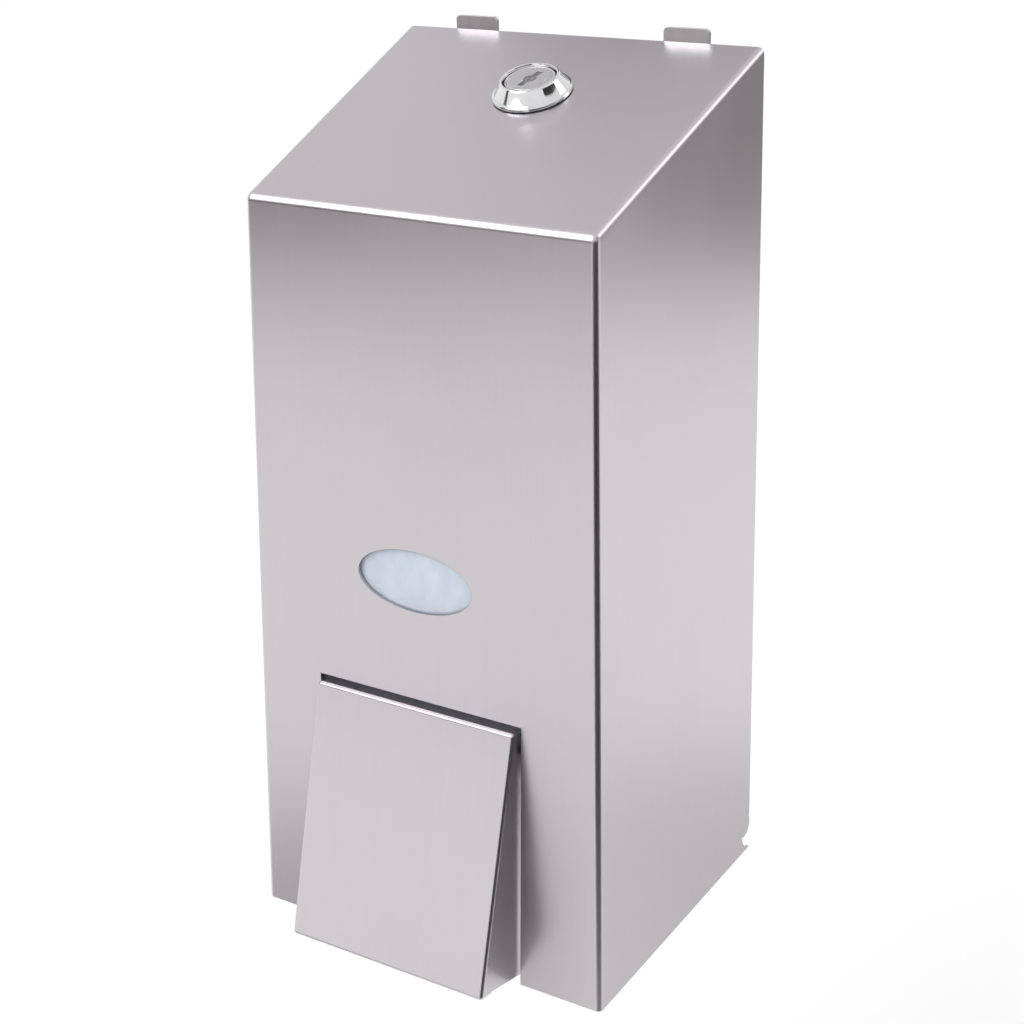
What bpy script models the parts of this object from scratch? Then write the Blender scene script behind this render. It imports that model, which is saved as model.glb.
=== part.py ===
"""Wall mounted soap dispenser: a tapered steel cover that tips forward on two low pins, with a cam lock in
its sloped top, a level window and a push plate that works a piston pump under a plastic tank.

The origin is on the wall face of the back plate, at its middle. The front faces -Y and +Z is up.
"""

import math

import bmesh
import bpy
from mathutils import Matrix, Vector

OBJECT_NAME = "soap_dispenser"

# Heights are measured up from the cover's lower front edge.
BASE = -0.115

# Cover: outer sizes of the folded shell
COVER_SHEET = 0.001
COVER_HALF_WIDTH = 0.0525
SIDE_FLARE = 0.0632
SIDE_TAPER = 0.02885
FRONT_BOTTOM_Y = -0.0931
FRONT_TOP_Y = -0.0882
REAR_Y = -0.007
FRONT_HEIGHT = 0.1998
REAR_HEIGHT = 0.2295
REAR_BOTTOM = 0.001
BEND_RADIUS = 0.0016

# Cover hinge
HINGE_Y = -0.006
HINGE_HEIGHT = 0.0068
NOTCH_RADIUS = 0.0056
HINGE_X = 0.0578
PIN_RADIUS = 0.0015
PIN_HEAD_RADIUS = 0.0038
EAR_INSET = 0.0054
EAR_SHEET = 0.0015
HINGE_STRIP_HALF_HEIGHT = 0.0035
HINGE_STRIP_INSET = 0.0013
HINGE_STRIP_SHEET = 0.0012
HINGE_ARM_INSET = 0.0032
HINGE_EYE_RADIUS = 0.0046

# Level window
WINDOW_X = -0.0013
WINDOW_HEIGHT = 0.1085
WINDOW_HALF_WIDTH = 0.0165
WINDOW_HALF_HEIGHT = 0.0082

# Push plate
PLATE_X = -0.001
PLATE_HALF_WIDTH = 0.0293
PLATE_SHEET = 0.001
PLATE_LENGTH = 0.0703
PLATE_TILT = math.radians(14.8)
PLATE_TOP_Y = -0.0937
PLATE_TOP_HEIGHT = 0.0752
SLOT_SIDE_GAP = 0.0007
SLOT_TOP = 0.0761
LEVER_DOWN = 0.006
LEVER_BACK = 0.0084
LEVER_ROD_RADIUS = 0.0015
BRACKET_SHEET = 0.0012
BRACKET_GAP = 0.0022
BRACKET_FOOT = 0.009

# Lock, along its own axis square to the sloped top
LOCK_X = 0.0023
LOCK_Y = -0.0352
BEZEL_RADIUS = 0.0101
BEZEL_HEIGHT = 0.0045
BARREL_RADIUS = 0.0082
BARREL_LENGTH = 0.018
PLUG_RADIUS = 0.0064
NUT_RADIUS = 0.0108
NUT_DEPTH = 0.0052
KEY_SLOT_HALF_LENGTH = 0.0038
KEY_SLOT_HALF_WIDTH = 0.0008
KEY_CENTRE_RADIUS = 0.0017
KEY_SLOT_DEPTH = 0.0115
KEY_LEAN = Vector((0.292, 0.956))
CAM_DEPTH = 0.0205
CAM_SHEET = 0.0016
CAM_HUB = 0.0055
CAM_INNER = 0.0123
CAM_OUTER = 0.0155

# Back plate
PLATE_WALL = 0.0012
BACK_INSET = 0.0032
BACK_BOTTOM = 0.001
BACK_TOP = 0.2265
BACK_RIM_Y = -0.0055
TAB_TOP = 0.2329
TAB_INNER_X = 0.0241
TAB_OUTER_X = 0.0365
SCREW_HOLE_RADIUS = 0.0026
SCREW_HOLE_X = 0.028
CATCH_RIVET_X = 0.0055
CATCH_RIVET_HEIGHT = 0.182
SCREW_HOLE_HEIGHTS = (0.028, 0.205)

# Tank and pump
TANK_LOW = Vector((-0.042, -0.084, BASE + 0.074))
TANK_HIGH = Vector((0.042, -0.016, BASE + 0.172))
TANK_WALL = 0.002
SPOUT_Y = -0.040
SPOUT_RADIUS = 0.007
SPOUT_END = 0.0515
NECK_Y = -0.042
NECK_RADIUS = 0.014
NECK_LENGTH = 0.010
SHELF_HEIGHT = 0.0734
SHELF_FRONT_Y = -0.078
SHELF_WIDTH = 0.076
PUMP_HEIGHT = 0.033
PUMP_RADIUS = 0.011
PUMP_BORE = 0.0085
PUMP_FRONT_Y = -0.066
PUMP_REAR_Y = -0.028
BUTTON_SPHERE = 0.008
BUTTON_CENTRE_Y = -0.0812
ROD_RADIUS = 0.0036
SPRING_RADIUS = 0.0052
SPRING_WIRE = 0.0004
STRAP_Y = -0.056
STRAP_HALF_DEPTH = 0.004
STRAP_SCREW_X = 0.0165
STRAP_SCREW_HOLE = 0.0016

GAP = 0.0003
RIVET_RADIUS = 0.0015

PARTS = None
CUTTERS = None


# ---------------------------------------------------------------- scene and materials

def clear_scene():
    for obj in list(bpy.data.objects):
        bpy.data.objects.remove(obj, do_unlink=True)


def make_collection(name):
    collection = bpy.data.collections.new(name)
    bpy.context.scene.collection.children.link(collection)
    return collection


def make_material(name, colour, roughness, metallic):
    material = bpy.data.materials.new(name)
    material.use_nodes = True
    shader = material.node_tree.nodes["Principled BSDF"]
    shader.inputs["Base Color"].default_value = (*colour, 1.0)
    shader.inputs["Roughness"].default_value = roughness
    shader.inputs["Metallic"].default_value = metallic
    return material


FINISHES = {
    "steel": ((0.62, 0.61, 0.62), 0.32, 1.0),
    "zinc": ((0.50, 0.50, 0.51), 0.45, 1.0),
    "chrome": ((0.80, 0.80, 0.81), 0.08, 1.0),
    "tank": ((0.80, 0.87, 0.92), 0.35, 0.0),
    "white": ((0.85, 0.86, 0.86), 0.4, 0.0),
    "rubber": ((0.05, 0.05, 0.05), 0.7, 0.0),
    "spring": ((0.45, 0.45, 0.46), 0.3, 1.0),
}


def finish(name, kind):
    return make_material(name, *FINISHES[kind])


def place(name, mesh, kind, smooth=True):
    obj = bpy.data.objects.new(name, mesh)
    PARTS.objects.link(obj)
    mesh.materials.append(finish(name, kind))
    if smooth:
        mesh.shade_smooth()
        mesh.set_sharp_from_angle(angle=math.radians(35))
    return obj


def place_cutter(name, mesh):
    obj = bpy.data.objects.new(name, mesh)
    CUTTERS.objects.link(obj)
    obj.hide_render = True
    obj.display_type = "WIRE"
    return obj


def axis_empty(name, location):
    empty = bpy.data.objects.new(name, None)
    PARTS.objects.link(empty)
    empty.empty_display_size = 0.01
    empty.matrix_world = Matrix.Translation(location)
    return empty


def ride(empty, pieces):
    bpy.context.view_layer.update()
    for piece in pieces:
        piece.parent = empty
        piece.matrix_parent_inverse = empty.matrix_world.inverted()


# ---------------------------------------------------------------- shapes

def mesh_from(name, bm):
    bmesh.ops.recalc_face_normals(bm, faces=bm.faces)
    mesh = bpy.data.meshes.new(name)
    bm.to_mesh(mesh)
    bm.free()
    return mesh


def box_mesh(name, low, high):
    bm = bmesh.new()
    bmesh.ops.create_cube(bm, size=1.0)
    low, high = Vector(low), Vector(high)
    for vert in bm.verts:
        vert.co = Vector(lo + (hi - lo) * (c + 0.5) for lo, hi, c in zip(low, high, vert.co))
    return mesh_from(name, bm)


def rod_mesh(name, start, end, radius, segments=24):
    start, end = Vector(start), Vector(end)
    along = end - start
    turn = along.to_track_quat("Z", "Y").to_matrix().to_4x4()
    bm = bmesh.new()
    bmesh.ops.create_cone(bm, cap_ends=True, segments=segments, radius1=radius, radius2=radius,
                          depth=along.length, matrix=Matrix.Translation((start + end) / 2) @ turn)
    return mesh_from(name, bm)


def turned_mesh(name, profile, closed):
    mesh = bpy.data.meshes.new(name)
    verts = [(radius, 0.0, height) for radius, height in profile]
    edges = [(i, i + 1) for i in range(len(verts) - 1)]
    if closed:
        edges.append((len(verts) - 1, 0))
    mesh.from_pydata(verts, edges, [])
    return mesh


def turn(obj, steps):
    screw = obj.modifiers.new("turn", "SCREW")
    screw.axis = "Z"
    screw.steps = steps
    screw.render_steps = steps
    screw.use_merge_vertices = True
    screw.merge_threshold = 0.00001


def turned(name, profile, origin, along, kind, closed=False, steps=32):
    """A body turned about the line through origin along a direction; the profile is radius and height."""
    obj = place(name, turned_mesh(name, profile, closed), kind, smooth=False)
    turn(obj, steps)
    spin = Vector(along).to_track_quat("Z", "Y").to_matrix().to_4x4()
    obj.matrix_world = Matrix.Translation(origin) @ spin
    return obj


def outline_mesh(name, loops, thickness):
    """A flat plate in the XY plane, from closed outlines: the first is the edge, the others are holes."""
    curve = bpy.data.curves.new(name + "_outline", "CURVE")
    curve.dimensions = "2D"
    curve.fill_mode = "BOTH"
    curve.extrude = thickness / 2
    for loop in loops:
        spline = curve.splines.new("POLY")
        spline.points.add(len(loop) - 1)
        for point, (x, y) in zip(spline.points, loop):
            point.co = (x, y, 0.0, 1.0)
        spline.use_cyclic_u = True
    return welded_mesh(name, curve)


def welded_mesh(name, curve):
    carrier = bpy.data.objects.new(name + "_curve", curve)
    CUTTERS.objects.link(carrier)
    graph = bpy.context.evaluated_depsgraph_get()
    mesh = bpy.data.meshes.new_from_object(carrier.evaluated_get(graph))
    mesh.name = name
    bpy.data.objects.remove(carrier)
    bm = bmesh.new()
    bm.from_mesh(mesh)
    bmesh.ops.remove_doubles(bm, verts=bm.verts, dist=0.000001)
    bmesh.ops.recalc_face_normals(bm, faces=bm.faces)
    bm.to_mesh(mesh)
    bm.free()
    mesh.materials.clear()
    return mesh


def tube_mesh(name, points, radius, resolution=2):
    curve = bpy.data.curves.new(name + "_path", "CURVE")
    curve.dimensions = "3D"
    curve.bevel_depth = radius
    curve.bevel_resolution = resolution
    curve.use_fill_caps = True
    spline = curve.splines.new("POLY")
    spline.points.add(len(points) - 1)
    for point, co in zip(spline.points, points):
        point.co = (*co, 1.0)
    return welded_mesh(name, curve)


def arc(centre, radius, start, end, count):
    """Points on an arc, angles in degrees."""
    angles = [math.radians(start + (end - start) * i / count) for i in range(count + 1)]
    return [(centre[0] + radius * math.cos(a), centre[1] + radius * math.sin(a)) for a in angles]


def folded_sheet(name, path, width, thickness, kind, centre_x=0.0):
    """A sheet bent along a (y, height) path and extended along X, its thickness centred on the path."""
    bm = bmesh.new()
    rows = []
    for y, height in path:
        left = bm.verts.new((centre_x - width / 2, y, BASE + height))
        right = bm.verts.new((centre_x + width / 2, y, BASE + height))
        rows.append((left, right))
    for (a, b), (c, d) in zip(rows, rows[1:]):
        bm.faces.new((a, b, d, c))
    obj = place(name, mesh_from(name, bm), kind)
    thicken(obj, thickness, 0.0)
    return obj


def thicken(obj, thickness, offset):
    solid = obj.modifiers.new("sheet", "SOLIDIFY")
    solid.thickness = thickness
    solid.offset = offset
    solid.use_even_offset = True


def soften(obj, width, segments):
    bevel = obj.modifiers.new("bend", "BEVEL")
    bevel.width = width
    bevel.segments = segments
    bevel.limit_method = "ANGLE"
    bevel.angle_limit = math.radians(30)


def combine(obj, tool, operation):
    boolean = obj.modifiers.new(operation.lower(), "BOOLEAN")
    boolean.operation = operation
    boolean.solver = "EXACT"
    boolean.object = tool


def cut(obj, mesh):
    tool = place_cutter(obj.name + "_cut", mesh)
    combine(obj, tool, "DIFFERENCE")
    return tool


def join(obj, mesh):
    tool = place_cutter(obj.name + "_add", mesh)
    combine(obj, tool, "UNION")
    return tool


# ---------------------------------------------------------------- the cover's planes

def half_width(y, height):
    """Half of the cover's outer width at a depth and a height."""
    return COVER_HALF_WIDTH + SIDE_FLARE * (y - FRONT_BOTTOM_Y) - SIDE_TAPER * height


def front_y(height):
    """The cover's outer front face at a height."""
    return FRONT_BOTTOM_Y + (FRONT_TOP_Y - FRONT_BOTTOM_Y) * height / FRONT_HEIGHT


def top_slope():
    return math.atan2(REAR_HEIGHT - FRONT_HEIGHT, REAR_Y - FRONT_TOP_Y)


def top_height(y):
    """The cover's outer top face at a depth."""
    return FRONT_HEIGHT + (y - FRONT_TOP_Y) * math.tan(top_slope())


def lock_frame():
    """The lock's foot on the outer top face, and its outward direction."""
    foot = Vector((LOCK_X, LOCK_Y, BASE + top_height(LOCK_Y)))
    outward = Vector((0.0, -math.sin(top_slope()), math.cos(top_slope())))
    return foot, outward


def plate_matrix():
    """The push plate's frame: X to the right, Y down along the front sheet, Z inwards, at its top edge."""
    down = Vector((0.0, -math.sin(PLATE_TILT), -math.cos(PLATE_TILT)))
    right = Vector((1.0, 0.0, 0.0))
    inward = right.cross(down)
    origin = Vector((PLATE_X, PLATE_TOP_Y, BASE + PLATE_TOP_HEIGHT))
    matrix = Matrix((right, down, inward)).transposed().to_4x4()
    matrix.translation = origin
    return matrix


def lever_axis():
    return plate_matrix() @ Vector((0.0, LEVER_DOWN, LEVER_BACK))


# ---------------------------------------------------------------- cover group

def build_cover():
    def corner(side, y, height):
        return (side * half_width(y, height), y, BASE + height)

    bm = bmesh.new()
    left, right = [
        [bm.verts.new(corner(side, y, height)) for y, height in (
            (FRONT_BOTTOM_Y, 0.0), (REAR_Y, REAR_BOTTOM), (REAR_Y, REAR_HEIGHT), (FRONT_TOP_Y, FRONT_HEIGHT))]
        for side in (-1, 1)]
    bm.faces.new((left[0], right[0], right[3], left[3]))
    bm.faces.new((left[3], right[3], right[2], left[2]))
    bm.faces.new(right)
    bm.faces.new(list(reversed(left)))
    mesh = bpy.data.meshes.new("cover")
    bm.to_mesh(mesh)
    bm.free()
    cover = place("cover", mesh, "steel")
    soften(cover, BEND_RADIUS, 3)
    thicken(cover, COVER_SHEET, -1.0)

    slot_half = PLATE_HALF_WIDTH + SLOT_SIDE_GAP
    cut(cover, box_mesh("slot", (PLATE_X - slot_half, FRONT_BOTTOM_Y - 0.01, BASE - 0.01),
                        (PLATE_X + slot_half, FRONT_BOTTOM_Y + 0.015, BASE + SLOT_TOP)))
    window = cut(cover, outline_mesh("window", [oval(WINDOW_HALF_WIDTH, WINDOW_HALF_HEIGHT)], 0.02))
    window.matrix_world = window_matrix()
    foot, outward = lock_frame()
    cut(cover, rod_mesh("lock_hole", foot - outward * 0.01, foot + outward * 0.01, BARREL_RADIUS + 0.0004, 32))
    axis_z = BASE + HINGE_HEIGHT
    cut(cover, rod_mesh("notch", (-0.08, HINGE_Y, axis_z), (0.08, HINGE_Y, axis_z), NOTCH_RADIUS, 32))
    return cover


def oval(half_x, half_y, count=32):
    angles = [2 * math.pi * i / count for i in range(count)]
    return [(half_x * math.cos(a), half_y * math.sin(a)) for a in angles]


def window_matrix():
    """A frame on the outer front face at the window: X to the right, Y up along the face, Z outwards."""
    lean = math.atan2(FRONT_TOP_Y - FRONT_BOTTOM_Y, FRONT_HEIGHT)
    up = Vector((0.0, math.sin(lean), math.cos(lean)))
    right = Vector((1.0, 0.0, 0.0))
    matrix = Matrix((right, up, right.cross(up))).transposed().to_4x4()
    matrix.translation = Vector((WINDOW_X, front_y(WINDOW_HEIGHT), BASE + WINDOW_HEIGHT))
    return matrix


def build_window_lens():
    flange_thickness = 0.0014
    flange = outline_mesh("window_lens", [oval(WINDOW_HALF_WIDTH + 0.003, WINDOW_HALF_HEIGHT + 0.003)],
                          flange_thickness)
    lens = place("window_lens", flange, "tank")
    lens.matrix_world = window_matrix() @ Matrix.Translation(
        (0.0, 0.0, -COVER_SHEET - GAP - flange_thickness / 2))
    raised = join(lens, outline_mesh("lens_face", [oval(WINDOW_HALF_WIDTH - GAP, WINDOW_HALF_HEIGHT - GAP)],
                                     0.0018))
    raised.matrix_world = window_matrix() @ Matrix.Translation((0.0, 0.0, -COVER_SHEET - GAP))
    return lens


def build_hinge_plates():
    """A joggled strip welded inside each side of the cover, turning on the fixed pin."""
    plates = []
    axis_z = BASE + HINGE_HEIGHT
    weld_front, bend_y = -0.038, -0.018
    for label, side in (("left", -1), ("right", 1)):
        name = "hinge_plate_" + label
        strip_far = HINGE_STRIP_INSET + HINGE_STRIP_SHEET
        arm_far = HINGE_ARM_INSET + HINGE_STRIP_SHEET
        plate = place(name, wall_block(name, side, (weld_front, bend_y), HINGE_STRIP_INSET, strip_far), "zinc")
        join(plate, wall_block("joggle", side, (bend_y - 0.0015, bend_y), HINGE_STRIP_INSET, arm_far))
        join(plate, wall_block("arm", side, (bend_y - HINGE_STRIP_SHEET, HINGE_Y + HINGE_STRIP_SHEET),
                               HINGE_ARM_INSET, arm_far))
        eye_near = HINGE_X - arm_far + 0.0001
        join(plate, rod_mesh("eye", (side * eye_near, HINGE_Y, axis_z),
                             (side * (eye_near + HINGE_STRIP_SHEET), HINGE_Y, axis_z), HINGE_EYE_RADIUS, 28))
        cut(plate, rod_mesh("pin_hole", (side * 0.04, HINGE_Y, axis_z), (side * 0.07, HINGE_Y, axis_z),
                            PIN_RADIUS + GAP, 20))
        plates.append(plate)
    return plates


def wall_block(name, side, span_y, inset_near, inset_far):
    """A strip lying parallel to the cover's side wall, between two insets from the wall's outer face."""
    low, high = HINGE_HEIGHT - HINGE_STRIP_HALF_HEIGHT, HINGE_HEIGHT + HINGE_STRIP_HALF_HEIGHT
    bm = bmesh.new()
    bmesh.ops.create_cube(bm, size=1.0)
    for vert in bm.verts:
        y = span_y[1] if vert.co.y > 0 else span_y[0]
        height = high if vert.co.z > 0 else low
        inset = inset_near if vert.co.x > 0 else inset_far
        vert.co = (side * (half_width(y, height) - inset), y, BASE + height)
    return mesh_from(name, bm)


def build_lock_body():
    foot, outward = lock_frame()
    bore = PLUG_RADIUS + GAP
    profile = [
        (bore, BEZEL_HEIGHT - 0.0003), (bore + 0.0003, BEZEL_HEIGHT), (bore + 0.0006, BEZEL_HEIGHT),
        (BEZEL_RADIUS - 0.0006, 0.0012), (BEZEL_RADIUS, 0.0008), (BEZEL_RADIUS, GAP),
        (BARREL_RADIUS, GAP), (BARREL_RADIUS, -BARREL_LENGTH), (bore, -BARREL_LENGTH)]
    body = turned("lock_body", profile, foot, outward, "chrome", closed=True, steps=40)
    nut_top = -COVER_SHEET - 2 * GAP
    nut_profile = [(NUT_RADIUS, nut_top), (NUT_RADIUS, -NUT_DEPTH), (BARREL_RADIUS + GAP, -NUT_DEPTH),
                   (BARREL_RADIUS + GAP, nut_top)]
    nut = turned("lock_nut", nut_profile, foot, outward, "zinc", closed=True, steps=24)
    return [body, nut]


def build_lock_plug():
    foot, outward = lock_frame()
    face = BEZEL_HEIGHT - 0.0005
    shaft = 0.0032
    shoulder = -BARREL_LENGTH - 0.0008
    profile = [
        (0.0, face), (PLUG_RADIUS - 0.0003, face), (PLUG_RADIUS, face - 0.0003), (PLUG_RADIUS, shoulder),
        (shaft, shoulder), (shaft, -CAM_DEPTH - CAM_SHEET), (0.0, -CAM_DEPTH - CAM_SHEET)]
    plug = turned("lock_plug", profile, foot, outward, "zinc", steps=40)
    right = Vector((1.0, 0.0, 0.0))
    upslope = outward.cross(right)
    key_along = (right * KEY_LEAN.x + upslope * KEY_LEAN.y).normalized()
    key_matrix = Matrix((key_along, outward.cross(key_along), outward)).transposed().to_4x4()
    key_matrix.translation = foot + outward * face
    slot_corner = Vector((KEY_SLOT_HALF_LENGTH, KEY_SLOT_HALF_WIDTH, 0.002))
    slot_low = Vector((-slot_corner.x, -slot_corner.y, -KEY_SLOT_DEPTH - 0.0005))
    slot = cut(plug, box_mesh("key_slot", slot_low, slot_corner))
    slot.matrix_world = key_matrix
    centre = cut(plug, rod_mesh("key_centre", (0.0, 0.0, -KEY_SLOT_DEPTH), (0.0, 0.0, 0.002),
                                KEY_CENTRE_RADIUS, 20))
    centre.matrix_world = key_matrix
    cut(plug, rod_mesh("thread", foot - outward * (CAM_DEPTH - 0.005), foot - outward * 0.03, 0.0015, 16))

    cam_matrix = Matrix((right, upslope, outward)).transposed().to_4x4()
    cam_matrix.translation = foot - outward * (CAM_DEPTH + CAM_SHEET / 2)
    cam = place("lock_cam", outline_mesh("lock_cam", [cam_outline(), arc((0, 0), shaft + GAP, 0, 337.5, 15)],
                                         CAM_SHEET), "zinc")
    cam.matrix_world = cam_matrix

    head_top = -CAM_DEPTH - CAM_SHEET - GAP
    thread, thread_end, head = 0.0012, -CAM_DEPTH + 0.0045, 0.0044
    screw_profile = [
        (0.0, thread_end), (thread, thread_end), (thread, head_top), (head, head_top),
        (head, head_top - 0.0012), (head - 0.0012, head_top - 0.002), (0.0, head_top - 0.002)]
    screw = turned("cam_screw", screw_profile, foot, outward, "zinc", steps=20)
    return [plug, cam, screw]


def cam_outline():
    """A hooked cam: a hub, an arm to the front left and a finger that curves back round the axis."""
    finger_end, arm_start, arm_end = 152.0, 215.0, 240.0
    hub = arc((0, 0), CAM_HUB, arm_end + 5.0, arm_start + 355.0, 20)
    inner = arc((0, 0), CAM_INNER, arm_start, finger_end, 8)
    outer = arc((0, 0), CAM_OUTER, finger_end, arm_end, 11)
    return hub + inner + outer


def build_lever_brackets():
    """An angle on each side of the slot, holding the push plate's rod, and a clip on each end of the rod."""
    axis = lever_axis()
    clip_outer, clip_bore, clip_sheet = 0.0027, LEVER_ROD_RADIUS + GAP, 0.0008
    pieces = []
    for label, side in (("left", -1), ("right", 1)):
        inner = PLATE_X + side * (PLATE_HALF_WIDTH + BRACKET_GAP)
        outer = inner + side * BRACKET_SHEET
        name = "lever_bracket_" + label
        front, rear = axis.y - 0.0022, axis.y + 0.005
        low, high = axis.z - 0.007, axis.z + 0.0065
        plate = place(name, box_mesh(name, (min(inner, outer), front, low), (max(inner, outer), rear, high)),
                      "zinc")
        foot_end = inner + side * BRACKET_FOOT
        join(plate, box_mesh("foot", (min(inner, foot_end), front, low),
                             (max(inner, foot_end), front + BRACKET_SHEET, axis.z - clip_outer - 0.0004)))
        cut(plate, rod_mesh("rod_hole", (-0.06, axis.y, axis.z), (0.06, axis.y, axis.z),
                            LEVER_ROD_RADIUS + GAP, 20))
        pieces.append(plate)
        clip_profile = [(clip_outer, clip_sheet), (clip_outer, 0.0), (clip_bore, 0.0), (clip_bore, clip_sheet)]
        clip_origin = (outer + side * GAP, axis.y, axis.z)
        pieces.append(turned("rod_clip_" + label, clip_profile, clip_origin, (side, 0, 0), "spring",
                             closed=True, steps=20))
    reach = PLATE_HALF_WIDTH + 0.0055
    rod = place("lever_rod", rod_mesh("lever_rod", (PLATE_X - reach, axis.y, axis.z),
                                      (PLATE_X + reach, axis.y, axis.z), LEVER_ROD_RADIUS, 20), "zinc")
    return pieces + [rod]


# ---------------------------------------------------------------- push plate group

def build_push_plate():
    """A tilted front sheet with a folded top edge, deep side flanges and a short lip along the bottom."""
    top_depth, bottom_depth, lip = 0.0125, 0.0245, 0.005
    half = PLATE_HALF_WIDTH
    bm = bmesh.new()
    front = [bm.verts.new((x, y, 0.0)) for x, y in (
        (-half, 0.0), (half, 0.0), (half, PLATE_LENGTH), (-half, PLATE_LENGTH))]
    back_left = [bm.verts.new((-half, y, z)) for y, z in ((0.0, top_depth), (PLATE_LENGTH, bottom_depth))]
    back_right = [bm.verts.new((half, y, z)) for y, z in ((0.0, top_depth), (PLATE_LENGTH, bottom_depth))]
    lip_verts = [bm.verts.new((x, PLATE_LENGTH, lip)) for x in (-half, half)]
    bm.faces.new(front)
    bm.faces.new((front[0], back_left[0], back_right[0], front[1]))
    bm.faces.new((front[3], lip_verts[0], back_left[1], back_left[0], front[0]))
    bm.faces.new((front[1], back_right[0], back_right[1], lip_verts[1], front[2]))
    bm.faces.new((front[2], lip_verts[1], lip_verts[0], front[3]))
    plate = place("push_plate", mesh_from("push_plate", bm), "steel")
    plate.matrix_world = plate_matrix()
    soften(plate, 0.001, 3)
    thicken(plate, PLATE_SHEET, -1.0)
    axis = lever_axis()
    cut(plate, rod_mesh("rod_hole", (-0.06, axis.y, axis.z), (0.06, axis.y, axis.z),
                        LEVER_ROD_RADIUS + GAP, 20))

    block_low = (-0.008, 0.029, PLATE_SHEET + GAP)
    block_high = (0.008, 0.049, LEVER_BACK + 0.006)
    block = place("pusher_block", box_mesh("pusher_block", block_low, block_high), "white")
    block.matrix_world = plate_matrix()
    soften(block, 0.0012, 2)
    return [plate, block]


# ---------------------------------------------------------------- back plate group

def build_back_plate():
    """A shallow pan against the wall, its top rim turned up into two tabs behind the cover's edge."""
    def rim(side, y, height):
        return (side * (half_width(REAR_Y, height) - BACK_INSET), y, BASE + height)

    bm = bmesh.new()
    wall = [bm.verts.new(rim(s, 0.0, h)) for s, h in ((-1, BACK_BOTTOM), (1, BACK_BOTTOM))]
    tab_xs = [-TAB_OUTER_X, -TAB_INNER_X, TAB_INNER_X, TAB_OUTER_X]
    left_top, right_top = rim(-1, 0.0, BACK_TOP), rim(1, 0.0, BACK_TOP)
    xs = [left_top[0]] + tab_xs + [right_top[0]]
    top_wall = [bm.verts.new((x, 0.0, BASE + BACK_TOP)) for x in xs]
    top_rim = [bm.verts.new((x, BACK_RIM_Y, BASE + BACK_TOP)) for x in xs]
    low_rim = [bm.verts.new(rim(s, BACK_RIM_Y, BACK_BOTTOM)) for s in (-1, 1)]
    bm.faces.new([wall[0]] + top_wall + [wall[1]])
    for i in range(len(xs) - 1):
        bm.faces.new((top_wall[i], top_rim[i], top_rim[i + 1], top_wall[i + 1]))
    bm.faces.new((wall[0], low_rim[0], top_rim[0], top_wall[0]))
    bm.faces.new((wall[1], top_wall[-1], top_rim[-1], low_rim[1]))
    bm.faces.new((wall[0], wall[1], low_rim[1], low_rim[0]))
    for i in (1, 3):
        tips = [bm.verts.new((xs[j], BACK_RIM_Y, BASE + TAB_TOP)) for j in (i, i + 1)]
        bm.faces.new((top_rim[i], tips[0], tips[1], top_rim[i + 1]))
    plate = place("back_plate", outward_sheet("back_plate", bm), "zinc")
    thicken(plate, PLATE_WALL, -1.0)
    for x in (-SCREW_HOLE_X, SCREW_HOLE_X):
        for height in SCREW_HOLE_HEIGHTS:
            cut(plate, rod_mesh("screw_hole", (x, -0.004, BASE + height), (x, 0.004, BASE + height),
                                SCREW_HOLE_RADIUS, 20))
    for x, height in rivet_places():
        cut(plate, rod_mesh("rivet_hole", (x, -0.004, BASE + height), (x, 0.004, BASE + height),
                            RIVET_RADIUS + GAP, 16))
    for side in (-1, 1):
        inner, outer = side * 0.0485, side * 0.060
        cut(plate, box_mesh("ear_gap", (min(inner, outer), -0.01, BASE - 0.01),
                            (max(inner, outer), -PLATE_WALL - 0.0001, BASE + 0.0165)))
    return plate


def outward_sheet(name, bm):
    """The wall side is the outside of the sheet, so the thickness goes inwards."""
    bmesh.ops.recalc_face_normals(bm, faces=bm.faces)
    base = max(bm.faces, key=lambda face: face.calc_area())
    base.normal_update()
    if base.normal.y < 0:
        bmesh.ops.reverse_faces(bm, faces=bm.faces)
    mesh = bpy.data.meshes.new(name)
    bm.to_mesh(mesh)
    bm.free()
    return mesh


def rivet_places():
    """Rivets through the back plate: two for the shelf, two for the catch, one for each hinge ear."""
    catch = [(LOCK_X + side * CATCH_RIVET_X, CATCH_RIVET_HEIGHT) for side in (-1, 1)]
    return [(-0.028, 0.058), (0.028, 0.058)] + catch + [(-0.043, HINGE_HEIGHT), (0.043, HINGE_HEIGHT)]


def build_rivets():
    names = ["shelf_rivet_left", "shelf_rivet_right", "catch_rivet_left", "catch_rivet_right",
             "ear_rivet_left", "ear_rivet_right"]
    head_base = PLATE_WALL + GAP + PLATE_WALL + GAP
    profile = [(0.0, head_base + 0.0012), (0.0018, head_base + 0.001), (0.0028, head_base + 0.0004),
               (0.0028, head_base), (RIVET_RADIUS, head_base), (RIVET_RADIUS, 0.0002), (0.0, 0.0002)]
    return [turned(name, profile, (x, 0.0, BASE + height), (0, -1, 0), "zinc", steps=12)
            for name, (x, height) in zip(names, rivet_places())]


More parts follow.
